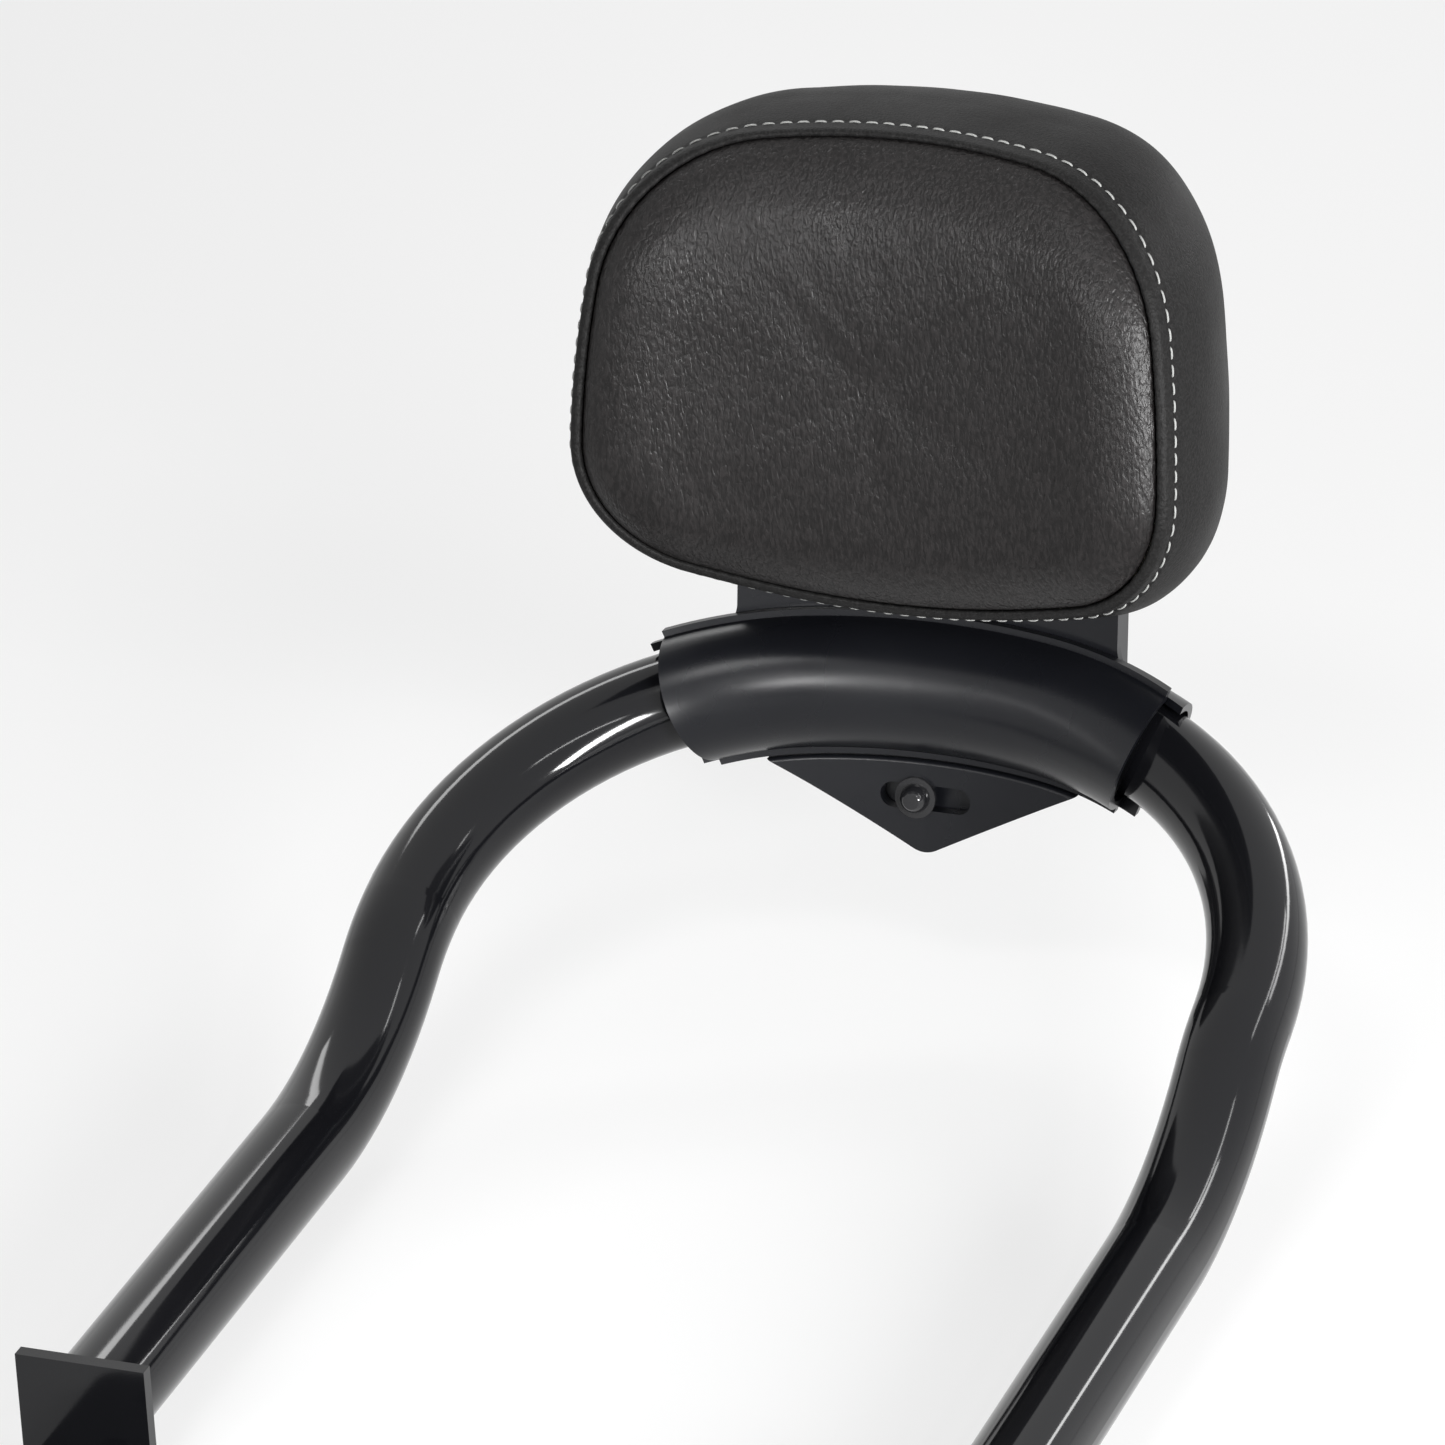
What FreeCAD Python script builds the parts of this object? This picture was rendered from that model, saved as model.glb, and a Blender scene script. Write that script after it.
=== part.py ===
import FreeCAD as App
import Part
import Sketcher
import math
import os

doc = App.newDocument("motorcycle_backrest")
sheet = doc.addObject("Spreadsheet::Sheet", "sizes")
ENTRIES = []


def size(name, value):
    row = len(ENTRIES) + 1
    sheet.set("A%d" % row, name)
    sheet.set("B%d" % row, str(value))
    sheet.setAlias("B%d" % row, name)
    ENTRIES.append(name)


given = {
    # tube and hoop, in millimetres and degrees
    "tube_diameter": 35,
    "tube_wall": 2.5,
    "hoop_tilt": 21,
    "rear_arc_radius": 250,
    "rear_arc_half_angle": 10,
    "rail_half_spacing": 153,
    "corner_run": 3,
    "dip_radius": 70,
    "dip_angle": 15,
    "dip_run": 3,
    "rise_radius": 142,
    "rail_run": 182,
    "rail_height": 27,
    # feet
    "foot_thickness": 5,
    "foot_width": 46,
    "foot_bend_radius": 4,
    "foot_top_margin": 3,
    "foot_hole_diameter": 9,
    "foot_hole_pitch": 32,
    "foot_hole_inset": 20,
    "foot_end_margin": 13,
    "foot_corner_radius": 8,
    # clamp round the tube
    "seat_gap": 0.2,
    "parting_gap": 1,
    "clamp_half_width": 88,
    "clamp_end_slant": 23,
    "clamp_sweep_run": 116,
    "bracket_extra": 7.5,
    "front_liner_thickness": 3.1,
    "rear_liner_thickness": 1.2,
    "liner_setback": 3,
    "front_wall": 3.5,
    "rear_wall": 3,
    "lip_height": 2,
    "lower_lip_height": 2,
    "lip_thickness": 3.5,
    "thread_play": 0.2,
    # slotted tab and the flange behind it
    "tab_thickness": 5.5,
    "tab_top": 27,
    "tab_ledge_radius": 1.5,
    "tab_half_width": 66,
    "tab_shoulder": 27,
    "tab_drop": 60.8,
    "tab_apex_radius": 9,
    "slot_length": 34,
    "slot_width": 9.4,
    "slot_level": 40.5,
    "flange_half_width": 48,
    "flange_foot_half_width": 22,
    "flange_drop": 48,
    "flange_thickness": 4,
    "clamp_screw_angle": 8,
    "clamp_screw_level": 33.5,
    "clamp_screw_diameter": 5,
    "clamp_screw_play": 0.5,
    "clamp_screw_head_diameter": 8.5,
    "clamp_screw_head_height": 4,
    "clamp_screw_socket": 3,
    "clamp_screw_grip": 4.2,
    "slot_bolt_offset": 3.9,
    "slot_bolt_diameter": 8,
    "slot_bolt_play": 0.5,
    "slot_bolt_head_diameter": 10.6,
    "slot_bolt_head_height": 4.8,
    "slot_bolt_socket": 5,
    "slot_washer_diameter": 15,
    "slot_washer_thickness": 1.6,
    "slot_nut_flats": 13,
    "slot_nut_thickness": 6.5,
    "slot_bolt_tail": 2.5,
    # upright
    "upright_half_width": 71,
    "upright_thickness": 4,
    "upright_height": 160,
    "upright_flange_depth": 12,
    "upright_flange_thickness": 3,
    "upright_flare_radius": 12,
    "upright_corner_radius": 14,
    # pad
    "pad_recline": 10,
    "pad_forward": 50,
    "pad_raise": 99,
    "pad_half_width": 105,
    "pad_top": 110.5,
    "pad_bottom": 56,
    "pad_side_level": 5,
    "pad_top_radius": 344,
    "pad_upper_corner": 62.5,
    "pad_side_radius": 414,
    "pad_lower_corner": 46.5,
    "pad_bottom_radius": 267,
    "band_bulge": 9.8,
    "band_front_fillet": 9,
    "band_rear_fillet": 24,
    "pad_depth": 82,
    "cover_thickness": 2.5,
    "crown_height": 10,
    "crown_fillet": 9,
    "soft_gap": 0.3,
    "board_thickness": 6,
    "board_edge_gap": 1,
    "back_inset": 16.5,
    "back_foam_inset": 3,
    "entry_gap": 1,
    "pad_screw_angle": 8,
    "pad_screw_lower": 72,
    "pad_screw_upper_margin": 30,
    "pad_screw_diameter": 6,
    "pad_screw_play": 0.6,
    "pad_screw_head_diameter": 10.5,
    "pad_screw_head_height": 3.3,
    "pad_screw_socket": 4,
    "pad_washer_diameter": 14,
    "pad_washer_thickness": 1.6,
    "tee_nut_flange": 19,
    "tee_nut_barrel": 8.2,
    "tee_nut_plate": 1.5,
}
derived = {
    # derived values of the hoop
    "tube_radius": "tube_diameter / 2",
    "arc_join_x": "rear_arc_radius * sin(rear_arc_half_angle)",
    "arc_join_y": "rear_arc_radius * (1 - cos(rear_arc_half_angle))",
    "corner_arc_radius": "(rail_half_spacing - arc_join_x) / (1 - sin(rear_arc_half_angle))",
    "corner_end_y": "arc_join_y + corner_arc_radius * cos(rear_arc_half_angle)",
    "plane_run": "corner_end_y + corner_run",
    "steep_angle": "hoop_tilt + dip_angle",
    "dip_forward": "dip_radius * (sin(steep_angle) - sin(hoop_tilt))",
    "dip_drop": "dip_radius * (cos(hoop_tilt) - cos(steep_angle))",
    "rise_forward": "rise_radius * sin(steep_angle)",
    "rise_drop": "rise_radius * (1 - cos(steep_angle))",
    "rail_end_y": "foot_hole_pitch / 2 + foot_hole_inset + foot_thickness",
    "rise_end_y": "rail_end_y + rail_run",
    "dip_end_y": "rise_end_y + rise_forward + dip_run * cos(steep_angle)",
    "rail_start_y": "dip_end_y + dip_forward",
    "rail_start_z": "rail_height + rise_drop + dip_run * sin(steep_angle) + dip_drop",
    "hoop_y": "rail_start_y + plane_run * cos(hoop_tilt)",
    "hoop_z": "rail_start_z + plane_run * sin(hoop_tilt)",
    "lean": "hoop_tilt + pad_recline",
    # derived values of the clamp, measured from the tube's centre
    "liner_bore": "tube_radius + seat_gap",
    "front_liner_outer": "liner_bore + front_liner_thickness",
    "rear_liner_outer": "liner_bore + rear_liner_thickness",
    "front_bore": "front_liner_outer + seat_gap",
    "rear_bore": "rear_liner_outer + seat_gap",
    "front_outer": "front_bore + front_wall",
    "rear_outer": "rear_bore + rear_wall",
    "half_parting": "parting_gap / 2",
    "lip_face": "half_parting + lip_thickness",
    "tab_face": "half_parting + tab_thickness",
    "washer_seat": "tab_face + slot_washer_diameter ^ 2 / 8 / (rear_arc_radius - tab_face) + 0.03",
    "flange_face": "half_parting + flange_thickness",
    "rear_arc_run": "rear_arc_radius * rear_arc_half_angle * pi / 180",
    "clamp_end_angle":
        "rear_arc_half_angle + (clamp_sweep_run - rear_arc_run) / "
        "corner_arc_radius * 180 / pi",
    "tab_end_angle":
        "asin(sin(rear_arc_half_angle) + (tab_half_width + 4 - "
        "arc_join_x) / corner_arc_radius)",
    "tab_apex_level": "tab_drop - tab_apex_radius",
    "tab_edge_reach": "sqrt(tab_half_width ^ 2 + (tab_apex_level - tab_shoulder) ^ 2)",
    "tab_edge_angle":
        "atan((tab_apex_level - tab_shoulder) / tab_half_width) + "
        "asin(tab_apex_radius / tab_edge_reach)",
    "slot_bolt_angle": "asin(slot_bolt_offset / rear_arc_radius)",
    # derived values of the upright and the pad
    "plan_rear_radius": "rear_arc_radius / cos(lean)",
    "plan_corner_radius": "corner_arc_radius / cos(lean)",
    "plan_join_angle": "asin(arc_join_x / plan_rear_radius)",
    "plan_join_drop": "plan_rear_radius * (1 - cos(plan_join_angle))",
    "upright_end_angle":
        "asin(sin(plan_join_angle) + (upright_half_width - "
        "arc_join_x) / plan_corner_radius)",
    "pad_screw_pitch": "upright_height - pad_screw_upper_margin - pad_screw_lower",
    "upright_drop": "plan_join_drop + plan_corner_radius * (cos(plan_join_angle) - cos(upright_end_angle))",
    "flare_half_width": "upright_half_width + upright_flare_radius",
    "flare_angle": "asin(sin(rear_arc_half_angle) + (flare_half_width - arc_join_x) / corner_arc_radius)",
    "flare_run": "arc_join_y + corner_arc_radius * (cos(rear_arc_half_angle) - cos(flare_angle))",
    "flare_level": "rear_outer - flare_run * sin(lean) - 1",
    "band_half_width": "pad_half_width + band_bulge + 4",
    "plate_front": "pad_forward + half_parting",
    "flange_rear": "plate_front + upright_flange_depth",
    "board_rear": "plate_front - seat_gap",
    "board_front": "board_rear - board_thickness",
    "back_foam_front": "board_rear + soft_gap",
    "inner_front": "cover_thickness + soft_gap",
    "inner_rear": "pad_depth - cover_thickness - soft_gap",
    "inner_bulge": "band_bulge - cover_thickness - soft_gap",
    # the outline's tangent arcs: centres, and directions from each centre to its joints
    "top_centre": "pad_top - pad_top_radius",
    "bottom_centre": "pad_bottom_radius - pad_bottom",
    "side_centre": "pad_half_width - pad_side_radius",
    "upper_a": "pad_top_radius - pad_upper_corner",
    "upper_b": "pad_side_radius - pad_upper_corner",
    "upper_rise": "-pad_side_level - top_centre",
    "upper_span": "sqrt(side_centre ^ 2 + upper_rise ^ 2)",
    "upper_along": "(upper_a ^ 2 - upper_b ^ 2 + upper_span ^ 2) / (2 * upper_span)",
    "upper_across": "sqrt(upper_a ^ 2 - upper_along ^ 2)",
    "upper_x": "(side_centre * upper_along + upper_rise * upper_across) / upper_span",
    "upper_z": "top_centre + (upper_rise * upper_along - side_centre * upper_across) / upper_span",
    "lower_a": "pad_bottom_radius - pad_lower_corner",
    "lower_b": "pad_side_radius - pad_lower_corner",
    "lower_rise": "-pad_side_level - bottom_centre",
    "lower_span": "sqrt(side_centre ^ 2 + lower_rise ^ 2)",
    "lower_along": "(lower_a ^ 2 - lower_b ^ 2 + lower_span ^ 2) / (2 * lower_span)",
    "lower_across": "sqrt(lower_a ^ 2 - lower_along ^ 2)",
    "lower_x": "(side_centre * lower_along - lower_rise * lower_across) / lower_span",
    "lower_z": "bottom_centre + (lower_rise * lower_along + side_centre * lower_across) / lower_span",
}
for name, value in given.items():
    size(name, value)
for name, formula in derived.items():
    size(name, "=" + formula)
doc.recompute()


def val(name):
    return float(getattr(sheet, name))


def newBody(name):
    body = doc.addObject("PartDesign::Body", name)
    body.Label = name
    return body


def plane(body, role):
    for item in body.Origin.OriginFeatures:
        if item.Role == role:
            return item
    raise RuntimeError("no origin plane " + role)


def sketchOn(body, name, role, base=None, axis=(0, 0, 1), angle=None):
    sketch = body.newObject("Sketcher::SketchObject", name)
    sketch.AttachmentSupport = [(plane(body, role), "")]
    sketch.MapMode = "FlatFace"
    turn = 0.0
    if angle is not None:
        turn = 1.0
    sketch.AttachmentOffset = App.Placement(App.Vector(0, 0, 0), App.Rotation(App.Vector(*axis), turn))
    if angle is not None:
        sketch.setExpression("AttachmentOffset.Rotation.Angle", angle)
    for key, text in (base or {}).items():
        sketch.setExpression("AttachmentOffset.Base." + key, text)
    return sketch


def evalText(text):
    return float(sheet.evalExpression(prefixed(text)))


def prefixed(text):
    words = []
    word = ""
    for ch in text + " ":
        if ch.isalnum() or ch == "_" or ch == ".":
            word += ch
            continue
        if word in ENTRIES:
            word = "sizes." + word
        words.append(word + ch)
        word = ""
    return "".join(words).strip()


def coordinate(sketch, kind, geo, pos, text):
    number = evalText(text)
    if abs(number) < 1e-9:
        other = "PointOnObject"
        line = -2 if kind == "DistanceX" else -1
        sketch.addConstraint(Sketcher.Constraint(other, geo, pos, line))
        return
    if number > 0:
        index = sketch.addConstraint(Sketcher.Constraint(kind, -1, 1, geo, pos, number))
        sketch.setExpression("Constraints[%d]" % index, prefixed(text))
        return
    index = sketch.addConstraint(Sketcher.Constraint(kind, geo, pos, -1, 1, -number))
    sketch.setExpression("Constraints[%d]" % index, prefixed("-(" + text + ")"))


def arcThrough(start, end, radius, left):
    # an arc from start to end whose centre lies left or right of the chord
    sx, sy = start
    ex, ey = end
    dx, dy = ex - sx, ey - sy
    chord = math.hypot(dx, dy)
    rise = math.sqrt(max(radius * radius - chord * chord / 4, 0.0))
    side = 1 if left else -1
    cx = (sx + ex) / 2 - side * dy / chord * rise
    cy = (sy + ey) / 2 + side * dx / chord * rise
    first = math.atan2(sy - cy, sx - cx)
    last = math.atan2(ey - cy, ex - cx)
    if not left:
        first, last = last, first
    circle = Part.Circle(App.Vector(cx, cy, 0), App.Vector(0, 0, 1), radius)
    return Part.ArcOfCircle(circle, first, last)


def outline(sketch, corners, closed=True):
    # corners: (x text, y text, edge to the next corner), an edge being None or (radius text, left)
    points = [(evalText(x), evalText(y)) for x, y, edge in corners]
    count = len(corners)
    total = count if closed else count - 1
    ends = []
    for k in range(total):
        start = points[k]
        end = points[(k + 1) % count]
        edge = corners[k][2]
        if edge is None:
            geo = sketch.addGeometry(Part.LineSegment(App.Vector(*start, 0), App.Vector(*end, 0)), False)
            ends.append((geo, 1, 2))
            continue
        radius, left = edge
        geo = sketch.addGeometry(arcThrough(start, end, evalText(radius), left), False)
        index = sketch.addConstraint(Sketcher.Constraint("Radius", geo, evalText(radius)))
        sketch.setExpression("Constraints[%d]" % index, prefixed(radius))
        ends.append((geo, 1, 2) if left else (geo, 2, 1))
    for k in range(total):
        if not closed and k == total - 1:
            break
        here = ends[k]
        after = ends[(k + 1) % total]
        sketch.addConstraint(Sketcher.Constraint("Coincident", here[0], here[2], after[0], after[1]))
    for k in range(count):
        if k < total:
            geo, pos = ends[k][0], ends[k][1]
        else:
            geo, pos = ends[k - 1][0], ends[k - 1][2]
        coordinate(sketch, "DistanceX", geo, pos, corners[k][0])
        coordinate(sketch, "DistanceY", geo, pos, corners[k][1])


def circle(sketch, x, y, radius):
    centre = App.Vector(evalText(x), evalText(y), 0)
    geo = sketch.addGeometry(Part.Circle(centre, App.Vector(0, 0, 1), evalText(radius)), False)
    index = sketch.addConstraint(Sketcher.Constraint("Radius", geo, evalText(radius)))
    sketch.setExpression("Constraints[%d]" % index, prefixed(radius))
    coordinate(sketch, "DistanceX", geo, 3, x)
    coordinate(sketch, "DistanceY", geo, 3, y)
    return geo


def pad(body, name, sketch, length, length2=None, reverse=False):
    feature = body.newObject("PartDesign::Pad", name)
    feature.Profile = sketch
    feature.Reversed = reverse
    if length2 is not None:
        feature.SideType = "Two sides"
        feature.setExpression("Length2", prefixed(length2))
    feature.setExpression("Length", prefixed(length))
    return feature


def pocket(body, name, sketch, length=None, reverse=False, both=False):
    feature = body.newObject("PartDesign::Pocket", name)
    feature.Profile = sketch
    feature.Reversed = reverse
    feature.Midplane = both
    if length is None:
        feature.Type = 1
    else:
        feature.setExpression("Length", prefixed(length))
    return feature


def pipe(body, name, profile, spine, cut=False):
    kind = "PartDesign::SubtractivePipe" if cut else "PartDesign::AdditivePipe"
    feature = body.newObject(kind, name)
    feature.Profile = profile
    feature.Spine = (spine, [])
    return feature


def mirrored(body, name, originals):
    feature = body.newObject("PartDesign::Mirrored", name)
    feature.Originals = originals
    feature.MirrorPlane = (plane(body, "YZ_Plane"), [""])
    body.Tip = feature
    return feature


CLAMP_FRAME = "vector(0; sizes.hoop_y; sizes.hoop_z); rotation(vector(-1; 0; 0); sizes.pad_recline)"
PAD_SHIFT = "vector(0; -sizes.pad_forward; sizes.pad_raise)"


def clampBody(name):
    # depth is local y and height is local z, with the tube's centre at the origin
    body = newBody(name)
    body.setExpression("Placement", "placement(%s)" % CLAMP_FRAME)
    return body


def padBody(name):
    body = newBody(name)
    shift = "placement(%s; rotation(vector(0; 0; 1); 0))" % PAD_SHIFT
    body.setExpression("Placement", "placement(%s) * %s" % (CLAMP_FRAME, shift))
    return body


def path(body, name, endAngle, tilt, base=None, run=False):
    # the right half of the hoop's centre line in its own tilted plane
    sketch = sketchOn(body, name, "XY_Plane", base, (1, 0, 0), tilt)
    endX = "arc_join_x + corner_arc_radius * (sin(%s) - sin(rear_arc_half_angle))" % endAngle
    endY = "-(arc_join_y + corner_arc_radius * (cos(rear_arc_half_angle) - cos(%s)))" % endAngle
    corners = [
        ("0", "0", ("rear_arc_radius", False)),
        ("arc_join_x", "-arc_join_y", ("corner_arc_radius", False)),
        (endX, endY, None),
    ]
    if run:
        corners.append((endX, endY + " - corner_run", None))
    outline(sketch, corners, False)
    return sketch


def clampPath(body, name, endAngle):
    return path(body, name, endAngle, "sizes.lean")


def sweptBothWays(body, name, section, spine, cut=False):
    half = pipe(body, name + "_right", section, spine, cut)
    return mirrored(body, name + "_left", [half])


def slantedEnds(body, name, reach):
    # cuts both ends on planes that run front to rear and slant outwards towards the top
    sketch = sketchOn(body, name + "_planes", "XZ_Plane")
    level = "tab_drop"
    beyond = "(clamp_half_width * 2)"
    for sign in ("", "-"):
        high = "%s(%s + %s * tan(clamp_end_slant))" % (sign, reach, level)
        low = "%s(%s - %s * tan(clamp_end_slant))" % (sign, reach, level)
        outline(sketch, [(high, level, None), (sign + beyond, level, None),
                         (sign + beyond, "-" + level, None), (low, "-" + level, None)])
    return pocket(body, name, sketch, None, False, True)


def bandPlan(sketch, near, far, half):
    # a band of the plan curve between two depths, as far as half on each side
    endAngle = "asin(sin(plan_join_angle) + (%s - arc_join_x) / plan_corner_radius)" % half
    drop = "(plan_join_drop + plan_corner_radius * (cos(plan_join_angle) - cos(%s)))" % endAngle
    rear = ("plan_rear_radius", False)
    side = ("plan_corner_radius", False)
    rearBack = ("plan_rear_radius", True)
    sideBack = ("plan_corner_radius", True)
    outline(sketch, [
        ("-(%s)" % half, "%s - %s" % (near, drop), side),
        ("-arc_join_x", "%s - plan_join_drop" % near, rear),
        ("arc_join_x", "%s - plan_join_drop" % near, side),
        (half, "%s - %s" % (near, drop), None),
        (half, "%s - %s" % (far, drop), sideBack),
        ("arc_join_x", "%s - plan_join_drop" % far, rearBack),
        ("-arc_join_x", "%s - plan_join_drop" % far, sideBack),
        ("-(%s)" % half, "%s - %s" % (far, drop), None),
    ])


def padLoop(sketch, bulge):
    # the pad's outline, moved outwards by bulge
    topR = "(pad_top_radius + %s)" % bulge
    sideR = "(pad_side_radius + %s)" % bulge
    lowR = "(pad_bottom_radius + %s)" % bulge
    topX = "upper_x / upper_a * " + topR
    topZ = "top_centre + (upper_z - top_centre) / upper_a * " + topR
    highX = "side_centre + (upper_x - side_centre) / upper_b * " + sideR
    highZ = "-pad_side_level + (upper_z + pad_side_level) / upper_b * " + sideR
    deepX = "side_centre + (lower_x - side_centre) / lower_b * " + sideR
    deepZ = "-pad_side_level + (lower_z + pad_side_level) / lower_b * " + sideR
    lowX = "lower_x / lower_a * " + lowR
    lowZ = "bottom_centre + (lower_z - bottom_centre) / lower_a * " + lowR
    upper = ("pad_upper_corner + " + bulge, True)
    lower = ("pad_lower_corner + " + bulge, True)
    outline(sketch, [
        (highX, highZ, upper),
        (topX, topZ, (topR, True)),
        ("-(%s)" % topX, topZ, upper),
        ("-(%s)" % highX, highZ, (sideR, True)),
        ("-(%s)" % deepX, deepZ, lower),
        ("-(%s)" % lowX, lowZ, (lowR, True)),
        (lowX, lowZ, lower),
        (deepX, deepZ, (sideR, True)),
    ])


def curveSide(sketch, depth, half, edge):
    # all that lies between a plan curve at this depth and a straight edge
    endAngle = "asin(sin(plan_join_angle) + (%s - arc_join_x) / plan_corner_radius)" % half
    drop = "(plan_join_drop + plan_corner_radius * (cos(plan_join_angle) - cos(%s)))" % endAngle
    outline(sketch, [
        ("-(%s)" % half, "%s - %s" % (depth, drop), ("plan_corner_radius", False)),
        ("-arc_join_x", "%s - plan_join_drop" % depth, ("plan_rear_radius", False)),
        ("arc_join_x", "%s - plan_join_drop" % depth, ("plan_corner_radius", False)),
        (half, "%s - %s" % (depth, drop), None),
        (half, edge, None),
        ("-(%s)" % half, edge, None),
    ])


def padBlock(body, tag, near, far, bulge):
    # the pad's outline, cut in front and behind to the plan curve
    shape = sketchOn(body, tag + "_outline", "XZ_Plane")
    padLoop(shape, bulge)
    pad(body, tag + "_block", shape, "band_half_width - (%s)" % near, "%s + 4" % far)
    ahead = sketchOn(body, tag + "_front_curve", "XY_Plane")
    curveSide(ahead, near, "band_half_width", "-(band_half_width * 2)")
    pocket(body, tag + "_front", ahead, None, False, True)
    behind = sketchOn(body, tag + "_rear_curve", "XY_Plane")
    curveSide(behind, far, "band_half_width", "%s + 8" % far)
    return pocket(body, tag + "_rear", behind, None, False, True)


def planDepth(x):
    # how far the plan curve lies in front of its middle at x
    radius = val("plan_rear_radius")
    joinX = val("arc_join_x")
    x = abs(x)
    if x <= joinX:
        return radius - math.sqrt(radius ** 2 - x ** 2)
    corner = val("plan_corner_radius")
    start = math.asin(joinX / radius)
    sine = math.sin(start) + (x - joinX) / corner
    return radius * (1 - math.cos(start)) + corner * (math.cos(start) - math.sqrt(1 - sine ** 2))


def rimEdges(feature, depth):
    # the edges of the face at this depth, without the joints inside it
    names = []
    joinX = val("arc_join_x")
    for k, edge in enumerate(feature.Shape.Edges):
        first, last = edge.ParameterRange
        spots = [edge.valueAt(first + (last - first) * t) for t in (0.1, 0.37, 0.5, 0.81)]
        if any(abs(p.y - (depth - planDepth(p.x))) > 0.002 for p in spots):
            continue
        if all(abs(abs(p.x) - joinX) < 0.002 for p in spots):
            continue
        names.append("Edge%d" % (k + 1))
    return names


def rimFillet(body, name, feature, depth, radius):
    doc.recompute()
    fillet = body.newObject("PartDesign::Fillet", name)
    fillet.Base = (feature, rimEdges(feature, evalText(depth)))
    fillet.setExpression("Radius", prefixed(radius))
    doc.recompute()
    return fillet


def turnedBody(name, place, corners):
    # turned about local y
    body = newBody(name)
    body.setExpression("Placement", place)
    half = sketchOn(body, name + "_profile", "XY_Plane")
    outline(half, corners)
    turn = body.newObject("PartDesign::Revolution", name + "_turned")
    turn.Profile = half
    turn.ReferenceAxis = (half, ["V_Axis"])
    turn.Angle = 360
    return body


def hexagon(sketch, flats):
    corner = "%s / sqrt(3)" % flats
    flat = "%s / 2" % flats
    half = corner + " / 2"
    points = [(corner, "0"), (half, flat), ("-" + half, flat)]
    points += [("-" + corner, "0"), ("-" + half, "-" + flat), (half, "-" + flat)]
    outline(sketch, [(x, y, None) for x, y in points])


def socketScrew(name, place, tag, seat, tip, domed):
    # a socket screw along local y, its head on the seat and its tip towards -y
    shank = tag + "_diameter / 2"
    headR = tag + "_head_diameter / 2"
    headTop = "%s + %s_head_height" % (seat, tag)
    corners = [("0", tip, None), (shank + " - 0.5", tip, None), (shank, tip + " + 0.5", None)]
    corners += [(shank, seat, None), (headR, seat, None)]
    if domed:
        corners.append((headR, seat + " + 0.6", ("%s_head_diameter * 0.62" % tag, True)))
        corners.append((headR + " * 0.55", headTop, None))
    else:
        corners.append((headR, headTop + " - 0.5", None))
        corners.append((headR + " - 0.5", headTop, None))
    corners.append(("0", headTop, None))
    body = turnedBody(name, place, corners)
    socket = sketchOn(body, name + "_socket", "XZ_Plane", {"z": "-(%s)" % prefixed(headTop)})
    hexagon(socket, tag + "_socket")
    pocket(body, name + "_recess", socket, tag + "_head_height * 0.55")
    return body


def washer(name, place, bore, outer, seat, thickness):
    top = "%s + %s" % (seat, thickness)
    corners = [(bore, seat, None), (outer, seat, None), (outer, top, None), (bore, top, None)]
    return turnedBody(name, place, corners)


def station(angle, level, depth, plan=False, flip=False, side=1):
    # a frame on the rear arc, or on the plan curve, with local y square to the curve
    radius = "sizes.plan_rear_radius" if plan else "sizes.rear_arc_radius"
    sign = "" if side > 0 else "-"
    x = "%s%s * sin(sizes.%s)" % (sign, radius, angle)
    y = "-%s * (1 - cos(sizes.%s))" % (radius, angle)
    turnSign = "-" if side > 0 else ""
    spin = "rotation(vector(0; 0; 1); %ssizes.%s)" % (turnSign, angle)
    if plan:
        place = "placement(vector(%s; %s + %s; %s); %s)" % (x, depth, y, level, spin)
    else:
        place = "placement(vector(0; 0; 0); rotation(vector(1; 0; 0); sizes.lean))"
        place += " * placement(vector(%s; %s; 0); %s)" % (x, y, spin)
        place += " * placement(vector(0; 0; 0); rotation(vector(-1; 0; 0); sizes.lean))"
        place += " * placement(vector(0; %s; %s); rotation(vector(0; 0; 1); 0))" % (depth, level)
    if flip:
        place += " * placement(vector(0; 0; 0); rotation(vector(0; 0; 1); 180))"
    return place


def inClamp(place):
    return "placement(%s) * %s" % (CLAMP_FRAME, place)


def stationBore(body, name, place, radius, reach, levels=("0",), ahead=None):
    # a round hole along a station's local y, reach deep each way from a plane ahead of the station
    sketch = body.newObject("Sketcher::SketchObject", name + "_circles")
    sketch.AttachmentSupport = [(plane(body, "XY_Plane"), "")]
    sketch.MapMode = "FlatFace"
    back = "0" if ahead is None else "-(%s)" % prefixed(ahead)
    sketch.setExpression("AttachmentOffset",
                         place + " * placement(vector(0; %s; 0); rotation(vector(1; 0; 0); 90))" % back)
    for level in levels:
        circle(sketch, "0", level, radius)
    hole = body.newObject("PartDesign::Pocket", name)
    hole.Profile = sketch
    hole.Midplane = True
    hole.setExpression("Length", prefixed("2 * (%s)" % reach))
    return hole


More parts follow.
